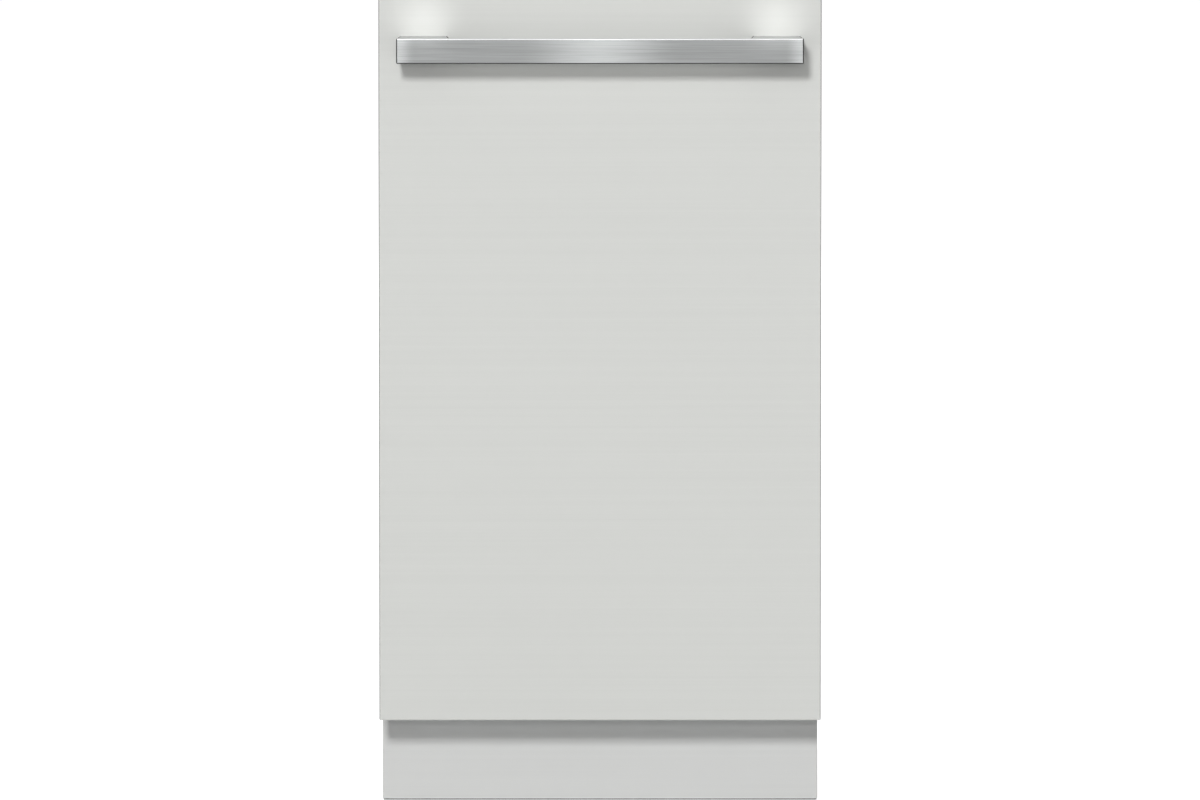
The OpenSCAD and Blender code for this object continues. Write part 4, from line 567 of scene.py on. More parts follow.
NODE_FINISH = {
    "sheet": ["side_panel_left", "side_panel_right", "rear_panel", "top_cover", "outer_door",
              "front_frame", "worktop_brackets"],
    "kick": ["toe_kick"],
    "front": ["front_panel"],
    "handle": ["handle_bar"],
    "bracket": ["handle_feet"],
    "tub": ["tub", "filter_plate"],
    "door": ["inner_door"],
    "arm": ["lower_spray_arm", "middle_spray_arm", "top_spray_arm"],
    "plated": ["hinge_plates", "hinge_arms", "handle_screws", "latch_claw", "rack_rails",
               "rail_middle"],
    "spring": ["door_springs"],
    "wire": ["lower_rack", "upper_rack"],
    "tine": ["fold_tines", "cup_shelf"],
    "dark": ["base_tray", "sump", "circulation_pump", "control_box", "latch_case"],
    "grey": ["rail_inner", "wheel_mounts", "middle_feed", "cutlery_tray", "supply_tube"],
    "mesh": ["filter_cylinder"],
    "wheel": ["front_wheels", "rear_wheels"],
    "pale": ["water_softener", "inlet_valve", "water_box", "drain_pump", "salt_cap",
             "leak_float", "dispenser"],
    "strip": ["control_strip"],
    "button": ["power_button", "program_button", "start_button", "mains_inlet"],
    "cap": ["rinse_cap"],
    "lid": ["dispenser_lid"],
    "rubber": ["tub_gasket"],
    "foot": ["front_foot_left", "front_foot_right", "rear_foot"],
    "felt": ["insulation"],
}


# Mesh tools


def in_mm(*pairs):
    """Pairs in millimetres, in metres"""
    return [(a * MM, b * MM) for a, b in pairs]


def mesh_object(name, bm, material):
    """Object from a bmesh, which it frees"""
    mesh = bpy.data.meshes.new(name)
    bm.to_mesh(mesh)
    bm.free()
    mesh.materials.append(material)
    obj = bpy.data.objects.new(name, mesh)
    bpy.context.scene.collection.objects.link(obj)
    return obj


def add_object(name, bm, finish, body):
    """Smooth piece with sharp corners, riding on a body"""
    bmesh.ops.recalc_face_normals(bm, faces=bm.faces)
    obj = mesh_object(name, bm, FINISHES[finish])
    obj.data.polygons.foreach_set("use_smooth", [True] * len(obj.data.polygons))
    obj.data.set_sharp_from_angle(angle=math.radians(38))
    obj.modifiers.new("Even normals", "WEIGHTED_NORMAL").keep_sharp = True
    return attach(obj, body)


def paint_light_by_side(obj, painted_lit, painted_shaded, turn):
    """Painted light and painted shade by facing: one finish for faces that look up or back, and a
    darker, painted shade finish for those that look down or sideways
    """
    facing = 0.4
    obj.data.materials.append(FINISHES[painted_lit])
    obj.data.materials.append(FINISHES[painted_shaded])
    for face in obj.data.polygons:
        if face.normal.z < -facing or abs(face.normal.x) > turn:
            face.material_index = 2
        elif face.normal.z > facing or face.normal.y > facing:
            face.material_index = 1


def join(bm, part):
    """Moves a finished part into the bmesh that collects a piece"""
    copies = {vert: bm.verts.new(vert.co) for vert in part.verts}
    for face in part.faces:
        bm.faces.new([copies[vert] for vert in face.verts])
    part.free()


def join_rounded(bm, part, radius, segments):
    """Rounds every edge of a part before it joins its piece"""
    bmesh.ops.bevel(part, geom=list(part.edges), offset=radius, segments=segments,
                    profile=0.5, affect="EDGES", clamp_overlap=True)
    join(bm, part)


def add_block(bm, low, high, radius, segments=3):
    """Box with every edge rounded"""
    part = bmesh.new()
    size = [b - a for a, b in zip(low, high)]
    middle = [(a + b) / 2 for a, b in zip(low, high)]
    bmesh.ops.create_cube(part, size=1.0, matrix=Matrix.Translation(middle)
                          @ Matrix.Diagonal((*size, 1.0)))
    join_rounded(bm, part, radius, segments)


def add_prism(bm, outline, low, high, axis, radius, segments=3):
    """Outline drawn out along axis 0, 1 or 2, with its edges rounded"""
    part = bmesh.new()
    rings = []
    for level in (low, high):
        points = []
        for a, b in outline:
            point = [a, b]
            point.insert(axis, level)
            points.append(point)
        rings.append(points)
    loft(part, rings, capped=True)
    bmesh.ops.recalc_face_normals(part, faces=part.faces)
    join_rounded(bm, part, radius, segments)


def loft(bm, rings, capped=False):
    """Skin through rings with the same number of points"""
    rows = [[bm.verts.new(point) for point in ring] for ring in rings]
    count = len(rows[0])
    for lower, upper in zip(rows, rows[1:]):
        for i in range(count):
            j = (i + 1) % count
            bm.faces.new((lower[i], lower[j], upper[j], upper[i]))
    if capped:
        bm.faces.new(list(reversed(rows[0])))
        bm.faces.new(rows[-1])


def turned_rings(profile, centre, axis, steps, lobes):
    """Ring of points round an axis through the centre for each (radius, height) pair; lobes
    gives six waves, and how high they are, to some of the profile's points"""
    turn = Vector(axis).normalized().to_track_quat("Z", "Y").to_matrix()
    rings = []
    for index, (radius, height) in enumerate(profile):
        ring = []
        for k in range(steps):
            angle = 2 * math.pi * k / steps
            reach = radius * (1.0 + lobes.get(index, 0.0) * math.cos(6 * angle))
            ring.append(Vector(centre) + turn @ Vector(
                (reach * math.cos(angle), reach * math.sin(angle), height)))
        rings.append(ring)
    return rings


def turned(bm, profile, centre, axis, steps=32, lobes=None):
    """Solid turned from a profile of (radius, height) pairs, with flat ends"""
    part = bmesh.new()
    loft(part, turned_rings(profile, centre, axis, steps, lobes or {}), capped=True)
    join(bm, part)


def ring_solid(bm, profile, centre, axis, steps=40):
    """Ring turned from a closed profile of (radius, height) pairs, with an open middle"""
    rings = turned_rings(profile, centre, axis, steps, {})
    part = bmesh.new()
    loft(part, rings + [rings[0]])
    bmesh.ops.remove_doubles(part, verts=part.verts, dist=1e-7)
    join(bm, part)


def soft_step(shape, ramp, depth, start=0.0, steps=6):
    """Rings of a pressed step: shape(inset) gives the points, and the depth eases over the ramp"""
    rings = []
    for k in range(steps + 1):
        t = k / steps
        rings.append((shape(ramp * t), start + depth * t * t * (3 - 2 * t)))
    return rings


def field(low, high, radius, ramp, depth, start=0.0, inner=()):
    """Pressed field with round corners, from its low corner to its high one"""
    least_radius = 0.6 * MM

    def shape(inset):
        return rounded_loop(low[0] + inset, high[0] - inset, low[1] + inset, high[1] - inset,
                            max(radius - inset, least_radius), steps=9)

    return soft_step(shape, ramp, depth, start), inner


def dimple(a, b, radius, ramp, depth):
    """Round sink for a screw"""
    points = 20

    def shape(inset):
        return [(a + (radius - inset) * math.cos(2 * math.pi * k / points),
                 b + (radius - inset) * math.sin(2 * math.pi * k / points))
                for k in range(points)]

    return soft_step(shape, ramp, depth, steps=4), ()


def rounded_loop(x0, x1, z0, z1, radius, steps=8):
    """Points round a rectangle with round corners, from its lower right corner on"""
    points = []
    for cx, cz, start in ((x1 - radius, z0 + radius, -90), (x1 - radius, z1 - radius, 0),
                          (x0 + radius, z1 - radius, 90), (x0 + radius, z0 + radius, 180)):
        for k in range(steps):
            angle = math.radians(start + 90 * k / (steps - 1))
            points.append((cx + radius * math.cos(angle), cz + radius * math.sin(angle)))
    return points


def pressed_sheet(name, finish, body, place, outline, features):
    """Thin sheet with pressed features; place(a, b, depth) gives a point, with depth going into
    the sheet. A feature is its rings of (points, depth) and the features on its flat bottom; None
    in their place leaves a hole."""
    bm = bmesh.new()

    def ring(points, depth):
        return [bm.verts.new(place(a, b, depth)) for a, b in points]

    def fill(outer, features):
        firsts = [ring(*rings[0]) for rings, _ in features]
        edges = []
        for loop in [outer] + firsts:
            for a, b in zip(loop, loop[1:] + loop[:1]):
                edges.append(bm.edges.get((a, b)) or bm.edges.new((a, b)))
        made = bmesh.ops.triangle_fill(bm, use_beauty=True, edges=edges)
        for face in made["geom"]:
            if isinstance(face, bmesh.types.BMFace):
                face.smooth = False
        for (rings, inner), last in zip(features, firsts):
            for points, depth in rings[1:]:
                row = ring(points, depth)
                for i in range(len(row)):
                    j = (i + 1) % len(row)
                    bm.faces.new((last[i], last[j], row[j], row[i])).smooth = True
                last = row
            if inner is not None:
                fill(last, inner)

    fill(ring(outline, 0.0), features)
    bmesh.ops.recalc_face_normals(bm, faces=bm.faces)
    outward = (place(0, 0, 0.0) - place(0, 0, 1.0)).normalized()
    if max(bm.faces, key=lambda face: face.calc_area()).normal.dot(outward) < 0:
        bmesh.ops.reverse_faces(bm, faces=bm.faces)
    obj = mesh_object(name, bm, FINISHES[finish])
    shell = obj.modifiers.new("Sheet thickness", "SOLIDIFY")
    shell.thickness = 1.0 * MM
    shell.offset = -1.0
    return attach(obj, body)


def softened(points, rounds=2):
    """Closed outline with its corners cut, again and again"""
    for _ in range(rounds):
        cut = []
        for (a, b), (c, d) in zip(points, points[1:] + points[:1]):
            cut += [(0.75 * a + 0.25 * c, 0.75 * b + 0.25 * d),
                    (0.25 * a + 0.75 * c, 0.25 * b + 0.75 * d)]
        points = cut
    return points


def add_screw(bm, centre, axis, radius, height):
    """Pan head with a six-lobed recess"""
    profile = [(1.0, 0.0), (1.0, 0.35), (0.92, 0.7), (0.7, 0.93), (0.5, 1.0), (0.42, 0.93),
               (0.40, 0.35)]
    turned(bm, [(radius * r, height * h) for r, h in profile], centre, axis, steps=36,
           lobes={5: 0.14, 6: 0.14})


# Pieces


class DISHWASHER_OT_finishes(bpy.types.Operator):
    """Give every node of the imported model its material"""

    bl_idname = "dishwasher.finishes"
    bl_label = "Finishes"

    def execute(self, context):
        make_finishes(context.scene.dishwasher_front, context.scene.dishwasher_inside)
        done = set()
        for finish, names in NODE_FINISH.items():
            for name in names:
                node = NODES[name]
                if not node.material_slots:
                    node.data.materials.append(FINISHES[finish])
                for place in node.material_slots:
                    place.material = FINISHES[finish]
                done.add(name)
        if done != set(NODES):
            raise RuntimeError(f"no finish for {sorted(set(NODES) - done)}")
        return {"FINISHED"}


class DISHWASHER_OT_front_panel(bpy.types.Operator):
    """Steel skin with folded edges over a backing board"""

    bl_idname = "dishwasher.front_panel"
    bl_label = "Front panel"

    def execute(self, context):
        settings = context.scene.dishwasher_front
        hem = FRONT_LO.y + settings.hem_depth
        bm = bmesh.new()
        add_block(bm, FRONT_LO, (FRONT_HI.x, hem, FRONT_HI.z), settings.panel_edge, segments=4)
        skin = add_object("front_skin", bm, "front", "door")
        # The panel's sides, looking left or right, get a darker finish: painted shade
        skin.data.materials.append(FINISHES["edge_shade_painted"])
        sideways = 0.5
        for face in skin.data.polygons:
            face.material_index = int(abs(face.normal.x) > sideways)
        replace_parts(skin, "front_panel")
        inset, overlap = 0.9 * MM, 1 * MM
        bm = bmesh.new()
        add_block(bm, (FRONT_LO.x + inset, hem - overlap, FRONT_LO.z + inset),
                  (FRONT_HI.x - inset, FRONT_HI.y, FRONT_HI.z - inset), radius=0.5 * MM,
                  segments=2)
        add_object("front_backing", bm, "dark", "door")
        return {"FINISHED"}


class DISHWASHER_OT_handle(bpy.types.Operator):
    """Brushed bar on two tapered feet"""

    bl_idname = "dishwasher.handle"
    bl_label = "Handle"

    def execute(self, context):
        settings = context.scene.dishwasher_front
        bm = bmesh.new()
        add_block(bm, BAR_LO, BAR_HI, settings.handle_edge, segments=5)
        bar = add_object("handle_bar_skin", bm, "handle", "door")
        # Painted highlight on the bar's top and back faces, painted shade on its underside and
        # ends
        paint_light_by_side(bar, "handle_painted_highlight", "handle_shade_painted", turn=0.4)
        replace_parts(bar, "handle_bar")
        lo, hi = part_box("handle_feet")
        width, taper, seat, below_top = 54 * MM, 2.5 * MM, 2 * MM, 0.1 * MM
        bm = bmesh.new()
        for side in SIDES:
            outer, inner = side * hi.x, side * (hi.x - width)
            outline = [(outer, lo.y), (inner, lo.y), (inner + side * taper, hi.y + seat),
                       (outer - side * taper, hi.y + seat)]
            add_prism(bm, outline, lo.z, BAR_HI.z - below_top, axis=2, radius=1.8 * MM,
                      segments=4)
        feet = add_object("handle_feet_skin", bm, "bracket", "door")
        # Painted shade on the feet's sides and undersides
        paint_light_by_side(feet, "bracket", "handle_shade_painted", turn=0.15)
        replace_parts(feet, "handle_feet")
        return {"FINISHED"}


class DISHWASHER_OT_toe_kick(bpy.types.Operator):
    """Folded steel toe kick on a rubber lip"""

    bl_idname = "dishwasher.toe_kick"
    bl_label = "Toe kick"

    def execute(self, context):
        thick, lip = 1.2 * MM, 0.6 * MM
        foot_z = KICK_LO.z + lip

        def loop(inset, radius):
            return rounded_loop(KICK_LO.x + inset, KICK_HI.x - inset, foot_z + inset,
                                KICK_HI.z - inset, radius, steps=5)

        corner, inner_corner = 1.6 * MM, 1.2 * MM
        outer, inner = loop(0.0, corner), loop(thick, inner_corner)
        levels = [(loop(thick / 2, inner_corner), KICK_LO.y), (outer, KICK_LO.y + thick / 2),
                  (outer, KICK_HI.y), (inner, KICK_HI.y), (inner, KICK_LO.y + thick)]
        bm = bmesh.new()
        loft(bm, [[Vector((x, y, z)) for x, z in points] for points, y in levels], capped=True)
        kick = add_object("toe_kick_skin", bm, "kick", "root")
        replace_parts(kick, "toe_kick")
        bm = bmesh.new()
        add_block(bm, (KICK_LO.x + lip, KICK_LO.y + 0.1 * MM, KICK_LO.z),
                  (KICK_HI.x - lip, KICK_LO.y + 5 * MM, foot_z + 0.2 * MM),
                  radius=0.2 * MM, segments=2)
        add_object("toe_kick_lip", bm, "rubber", "root")
        return {"FINISHED"}


def screw_row(a, first, pitch, count):
    """Places of a row of screws along the second axis"""
    return [(a, first + k * pitch) for k in range(count)]


def screwed_sheet(name, place, outline, low, high, margin, spots, axis, screws):
    """Carcass sheet with one pressed field, and a sink with a screw at each spot"""
    sink = 2.4 * MM
    features = [field([c + margin for c in low], [c - margin for c in high], radius=24 * MM,
                      ramp=5 * MM, depth=3 * MM)]
    features += [dimple(a, b, radius=8 * MM, ramp=4 * MM, depth=sink) for a, b in spots]
    for a, b in spots:
        add_screw(screws, place(a, b, sink), axis, radius=4 * MM, height=2 * MM)
    return pressed_sheet(name, "sheet", "root", place, outline, features)


class DISHWASHER_OT_carcass(bpy.types.Operator):
    """Side panels, rear panel and top cover, pressed from sheet, with their screws"""

    bl_idname = "dishwasher.carcass"
    bl_label = "Carcass sheets"

    def execute(self, context):
        screws = bmesh.new()
        for name, side in (("side_panel_left", -1), ("side_panel_right", 1)):
            lo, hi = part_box(name)
            outer = side * max(abs(lo.x), abs(hi.x))
            outline = [(lo.y, lo.z), (RECESS_Y, lo.z), (RECESS_Y, RECESS_Z), (hi.y, RECESS_Z),
                       (hi.y, hi.z), (lo.y, hi.z)]
            spots = screw_row(lo.y + 13 * MM, lo.z + 60 * MM, pitch=168 * MM, count=5)
            spots += screw_row(hi.y - 17 * MM, RECESS_Z + 60 * MM, pitch=190 * MM, count=4)

            def place(a, b, depth, outer=outer, side=side):
                return Vector((outer - side * depth, a, b))

            skin = screwed_sheet(f"{name}_skin", place, outline, (lo.y, lo.z), (hi.y, hi.z),
                                 46 * MM, spots, (side, 0, 0), screws)
            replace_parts(skin, name)
        lo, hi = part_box("rear_panel")
        outline = [(lo.x, lo.z), (hi.x, lo.z), (hi.x, hi.z), (lo.x, hi.z)]
        spots = []
        for side in SIDES:
            spots += screw_row(side * (hi.x - 18 * MM), lo.z + 30 * MM, pitch=150 * MM,
                               count=5)
        spots += [(x * MM, z) for x in (-70, 70) for z in (lo.z + 18 * MM, hi.z - 18 * MM)]
        rear = hi.y
        skin = screwed_sheet("rear_skin", lambda a, b, depth: Vector((a, rear - depth, b)),
                             outline, (lo.x, lo.z), (hi.x, hi.z), 44 * MM, spots, BACK, screws)
        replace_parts(skin, "rear_panel")
        # The top cover has two notches for the worktop brackets
        lo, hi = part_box("top_cover")
        notch_in, notch_out, notch_y = 154.7 * MM, 185.3 * MM, lo.y + 22.3 * MM
        outline = [(lo.x, lo.y)]
        for a, b in ((-notch_out, -notch_in), (notch_in, notch_out)):
            outline += [(a, lo.y), (a, notch_y), (b, notch_y), (b, lo.y)]
        outline += [(hi.x, lo.y), (hi.x, hi.y), (lo.x, hi.y)]
        spots = []
        for side in SIDES:
            spots += screw_row(side * (hi.x - 22 * MM), lo.y + 60 * MM, pitch=130 * MM,
                               count=4)
        top = hi.z
        skin = screwed_sheet("top_skin", lambda a, b, depth: Vector((a, b, top - depth)),
                             outline, (lo.x, lo.y), (hi.x, hi.y), 46 * MM, spots, UP, screws)
        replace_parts(skin, "top_cover")
        bracket_x, bracket_y = 170 * MM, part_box("worktop_brackets")[1].y - 8 * MM
        for side in SIDES:
            add_screw(screws, (side * bracket_x, bracket_y, top - 1.2 * MM), UP,
                      radius=3.4 * MM, height=1.1 * MM)
        add_object("carcass_screws", screws, "plated", "root")
        self.add_folds()
        return {"FINISHED"}

    def add_folds(self):
        """Folded edges of the side panels, and the shelf over the connectors"""
        folds = bmesh.new()
        side_lo, side_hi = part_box("side_panel_right")
        rear_lo, rear_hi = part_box("rear_panel")
        thick, fold, gap, edge = 1 * MM, 11 * MM, 0.5 * MM, 0.3 * MM
        for side in SIDES:
            a, b = sorted((side * (side_hi.x - fold), side * (side_hi.x - gap)))
            for low in ((a, side_lo.y, side_hi.z - thick), (a, side_hi.y - thick, RECESS_Z)):
                add_block(folds, low, (b, side_hi.y, side_hi.z), edge, segments=2)
        add_block(folds, (rear_lo.x, RECESS_Y, RECESS_Z),
                  (rear_hi.x, rear_hi.y - gap, RECESS_Z + thick), edge, segments=2)
        add_object("sheet_folds", folds, "sheet", "root")


class DISHWASHER_OT_door_liner(bpy.types.Operator):
    """Inner door pressed from stainless sheet, with beads and screws"""

    bl_idname = "dishwasher.door_liner"
    bl_label = "Door liner"

    def execute(self, context):
        lo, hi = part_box("inner_door")
        dish_lo, dish_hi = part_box("dispenser")
        face = hi.y
        notch_x, notch_z = 201.5 * MM, 123 * MM
        outline = [(-notch_x, lo.z), (notch_x, lo.z), (notch_x, notch_z), (hi.x, notch_z),
                   (hi.x, hi.z), (lo.x, hi.z), (lo.x, notch_z), (-notch_x, notch_z)]
        deep, sink, inset = 12 * MM, 1.7 * MM, 5 * MM
        opening = ([(rounded_loop(dish_lo.x + inset, dish_hi.x - inset, dish_lo.z + inset,
                                  dish_hi.z - inset, 6 * MM), deep)], None)
        bead_x, bead_half = 128 * MM, 7 * MM
        beads = [field((-bead_x, z * MM - bead_half), (bead_x, z * MM + bead_half),
                       radius=6.9 * MM, ramp=4 * MM, depth=-2.6 * MM, start=deep)
                 for z in (216, 262, 308, 354, 612, 652, 692)]
        recess_x, recess_z0, recess_z1 = 160 * MM, 175 * MM, 746 * MM
        recess = field((-recess_x, recess_z0), (recess_x, recess_z1), radius=24 * MM,
                       ramp=8 * MM, depth=deep, inner=[opening, *beads])
        spots = []
        for side in SIDES:
            spots += screw_row(side * 214.6 * MM, 150 * MM, pitch=120 * MM, count=6)
        features = [recess] + [dimple(a, b, radius=4.9 * MM, ramp=1.6 * MM, depth=sink)
                               for a, b in spots]
        skin = pressed_sheet("door_liner", "door", "door",
                             lambda a, b, depth: Vector((a, face - depth, b)), outline, features)
        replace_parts(skin, "inner_door")
        screws = bmesh.new()
        for a, b in spots:
            add_screw(screws, (a, face - sink, b), BACK, radius=3 * MM, height=1.5 * MM)
        add_object("liner_screws", screws, "plated", "door")
        return {"FINISHED"}


class DISHWASHER_OT_gasket(bpy.types.Operator):
    """Bulb seal round the tub's mouth and the seal along the sill"""

    bl_idname = "dishwasher.gasket"
    bl_label = "Tub gasket"

    def execute(self, context):
        lo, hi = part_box("tub_gasket")
        half, bend = 5.2 * MM, 27 * MM
        mid_x, mid_z, foot = hi.x - half, hi.z - half, lo.z
        # The line round the mouth, from the right foot on, with its outward directions
        outward = [(math.cos(math.radians(a)), math.sin(math.radians(a)))
                   for a in range(0, 91, 6)]
        line = [(mid_x, foot)] + [(mid_x - bend + bend * u, mid_z - bend + bend * v)
                                  for u, v in outward]
        line += [(-x, z) for x, z in reversed(line)]
        outward = [(1, 0)] + outward
        outward += [(-u, v) for u, v in reversed(outward)]
        # The bulb's section: across the line, and back from the gasket's front
        section = softened(in_mm(
            (-5.1, 11.9), (5.1, 11.9), (5.1, 8.4), (4.1, 7.6), (5.1, 6.6), (5.1, 2.2),
            (4.2, 0.6), (2.6, 0.0), (0.4, 0.0), (-1.4, 0.9), (-2.2, 3.0), (-3.4, 3.0),
            (-4.0, 1.2), (-5.1, 1.2), (-5.1, 6.6), (-4.1, 7.6), (-5.1, 8.4)))
        bm = bmesh.new()
        loft(bm, [[Vector((x + u * side, lo.y + back, z + v * side)) for side, back in section]
                  for (x, z), (u, v) in zip(line, outward)], capped=True)
        sill = [(lo.y + a, foot + b)
                for a, b in in_mm((0, 1), (0, 10), (3.4, 10.6), (3.4, 0), (1.2, 0))]
        add_prism(bm, sill, -mid_x + bend, mid_x - bend, axis=0, radius=0.7 * MM)
        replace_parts(add_object("gasket_bulb", bm, "rubber", "root"), "tub_gasket")
        return {"FINISHED"}


def spray_blade(bm, centre, turn, reach, low, high):
    """One swept-back blade with rounded flanks, a raised crown and four nozzles"""
    tip_r, sweep = 10 * MM, 7 * MM
    hub_width, knee_width, hub = 24 * MM, 17 * MM, 11 * MM
    blade = reach - tip_r
    knee, tip = 0.55 * blade, math.sqrt(blade * blade - sweep * sweep)

    def bow(x):
        if x < knee:
            return -sweep * x / knee
        return -sweep + 2 * sweep * (x - knee) / (tip - knee)

    def line(x):
        """Middle line of the blade, with its knee rounded over a span"""
        span = 16 * MM
        return sum(bow(x + span * k / 4) for k in range(-4, 5)) / 9

    def width(x):
        """Half width of the blade"""
        if x > tip:
            return math.sqrt(max(tip_r * tip_r - (x - tip) ** 2, 0.0))
        if x > knee:
            return knee_width + (tip_r - knee_width) * (x - knee) / (tip - knee)
        return hub_width + (knee_width - hub_width) * x / knee

    # Right half of the section, as shares of the half width and of the height
    section = [(0.80, 0.0), (0.95, 0.12), (1.0, 0.36), (0.97, 0.56), (0.86, 0.72),
               (0.60, 0.80), (0.34, 0.84), (0.24, 1.0)]
    section = softened(section + [(-u, v) for u, v in reversed(section)], 1)
    stations = [hub + (tip - hub) * k / 30 for k in range(31)]
    stations += [tip + tip_r * math.sin(math.radians(a)) for a in (12, 24, 36, 48, 60, 70, 79)]
    flat = Matrix.Rotation(turn, 3, "Z")
    base, rise = low + 1.5 * MM, high - low - 1.5 * MM
    rings = []
    for x in stations:
        slope = (line(x + MM) - line(x - MM)) / (2 * MM)
        normal = Vector((-slope, 1.0, 0.0)).normalized()
        tall = 0.55 + 0.45 * min(1.0, width(x) / (9 * MM))
        rings.append([flat @ (Vector((x, line(x), 0.0)) + normal * u * width(x))
                      + Vector((centre.x, centre.y, base + (0.5 + (v - 0.5) * tall) * rise))
                      for u, v in section])
    loft(bm, rings, capped=True)
    nozzle = in_mm((4.6, 0.0), (4.4, 1.8), (3.6, 2.6), (2.2, 2.6), (1.4, 1.2))
    for i in range(4):
        spot = flat @ Vector((blade * (0.36 + 0.2 * i), -sweep - 8 * MM + 5.2 * MM * i, 0.0))
        turned(bm, nozzle, (centre.x + spot.x, centre.y + spot.y, high - 4.2 * MM), UP,
               steps=24)


class DISHWASHER_OT_spray_arms(bpy.types.Operator):
    """Three stamped spray arms with nozzles and hubs"""

    bl_idname = "dishwasher.spray_arms"
    bl_label = "Spray arms"

    def execute(self, context):
        bore, rim = 10.1 * MM, 18 * MM
        for name, reach, turn in (("lower_spray_arm", 166, 20), ("middle_spray_arm", 166, -35),
                                  ("top_spray_arm", 140, 60)):
            lo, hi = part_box(name)
            centre, tall = (lo + hi) / 2, hi.z - lo.z
            bm = bmesh.new()
            for half in (0, 180):
                spray_blade(bm, centre, math.radians(turn + half), reach * MM, lo.z, hi.z)
            ring_solid(bm, [(bore, 0.0), (rim - 1 * MM, 0.0), (rim, 1 * MM),
                            (rim, tall - 1.5 * MM), (rim - 1.5 * MM, tall), (bore, tall)],
                       (centre.x, centre.y, lo.z), UP)
            arm = add_object(f"{name}_pressing", bm, "arm", name)
            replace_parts(arm, name)
        return {"FINISHED"}


class DISHWASHER_OT_feet(bpy.types.Operator):
    """Levelling feet with threaded stems"""

    bl_idname = "dishwasher.feet"
    bl_label = "Levelling feet"

    def execute(self, context):
        pitch, root, crest, end = 2 * MM, 4.35 * MM, 4.95 * MM, 3.6 * MM
        base = in_mm((19.2, 0.8), (20, 2), (20, 4.6), (18.6, 6), (9, 6.4), (8.2, 7), (8, 12.6),
                     (7, 13.6), (4.9, 13.8))
        for name in ("front_foot_left", "front_foot_right", "rear_foot"):
            lo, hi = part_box(name)
            middle = ((lo.x + hi.x) / 2, (lo.y + hi.y) / 2, 0)
            bm = bmesh.new()
            turned(bm, [(17 * MM, lo.z), *base], middle, UP, steps=60,
                   lobes={1: 0.03, 2: 0.035, 3: 0.035, 4: 0.03, 6: 0.07, 7: 0.07})
            thread = []
            z = 13 * MM
            while z < hi.z - pitch:
                thread += [(root, z), (crest, z + 0.45 * pitch), (crest, z + 0.62 * pitch)]
                z += pitch
            turned(bm, [*thread, (end, hi.z)], middle, UP, steps=20)
            foot = add_object(f"{name}_turned", bm, "foot", name)
            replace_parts(foot, name)
        return {"FINISHED"}


class DISHWASHER_OT_connectors(bpy.types.Operator):
    """Threaded water inlet, drain barbs and mains pins in the recess at the rear"""

    bl_idname = "dishwasher.connectors"
    bl_label = "Connectors"

    def execute(self, context):
        wall, z = RECESS_Y, 98 * MM
        lo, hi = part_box("inlet_valve")
        x = (lo.x + hi.x) / 2
        bm = bmesh.new()
        add_block(bm, (lo.x, lo.y, z - 22 * MM), (hi.x, wall - 3 * MM, z + 17 * MM),
                  radius=3 * MM)
        coil = in_mm((9, 0), (11, 0.8), (11, 27.2), (9, 28))
        turned(bm, coil, (x - 14 * MM, wall - 27 * MM, hi.z - 11 * MM), ACROSS)
        crest, root, pitch = 13.2 * MM, 12.3 * MM, 1.81 * MM
        profile = in_mm((7.5, -4), (12.6, -4), (12.6, 0.3), (17, 0.3), (17.2, 1), (17.2, 3.4),
                        (16.6, 4))
        profile.append((root, 4 * MM))
        reach = hi.y - wall
        step = 4.6 * MM
        while step + pitch < reach - 0.6 * MM:
            profile += [(root, step), (crest, step + 0.42 * pitch), (crest, step + 0.58 * pitch),
                        (root, step + pitch)]
            step += pitch
        profile += [(12 * MM, reach - 0.4 * MM), (11.6 * MM, reach), (9.7 * MM, reach),
                    (9.7 * MM, 0.0), (7.5 * MM, -1 * MM)]
        ring_solid(bm, profile, (x, wall, z), BACK, steps=48)
        strainer = in_mm((9.69, -3), (9.69, 1), (3, 1.6), (2, 3.2))
        turned(bm, strainer, (x, wall, z), BACK)
        valve = add_object("inlet_valve_body", bm, "pale", "root")
        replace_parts(valve, "inlet_valve")
        drain_x, barbs = -60 * MM, bmesh.new()
        barb = in_mm((9.3, 0), (10.3, 0), (10.35, 0.6), (9.52, 4.2), (9.3, 4.2))
        for start in (4, 9, 14):
            ring_solid(barbs, barb, (drain_x, wall + start * MM, z), BACK)
        add_object("drain_barbs", barbs, "dark", "root")
        # The earth pin stands in the middle, a little lower than the other two
        mains_x, pitch, drop, half_x, half_z = 140 * MM, 7 * MM, 2 * MM, 1.1 * MM, 2.6 * MM
        pins = bmesh.new()
        for i in (-1, 0, 1):
            a, b = mains_x + i * pitch, z - drop * (1 - abs(i))
            add_block(pins, (a - half_x, wall - 18.2 * MM, b - half_z),
                      (a + half_x, wall - 3.8 * MM, b + half_z), radius=0.5 * MM, segments=2)
        add_object("mains_pins", pins, "brass", "root")
        return {"FINISHED"}


def tine_tips(name, body, finish, columns, first, last, top):
    """Ten coated tips on each column of tines; a column is a number from 0 to 6"""
    bm = bmesh.new()
    tip = in_mm((1.70, 0.0), (1.95, 0.5), (1.95, 2.2), (1.6, 3.1), (0.9, 3.6))
    half, count = 146 * MM, 10
    for column in columns:
        for k in range(count):
            turned(bm, tip, (half * (column / 3 - 1), first + k * (last - first) / (count - 1),
                             top - 2.6 * MM), UP, steps=14)
    add_object(name, bm, finish, body)


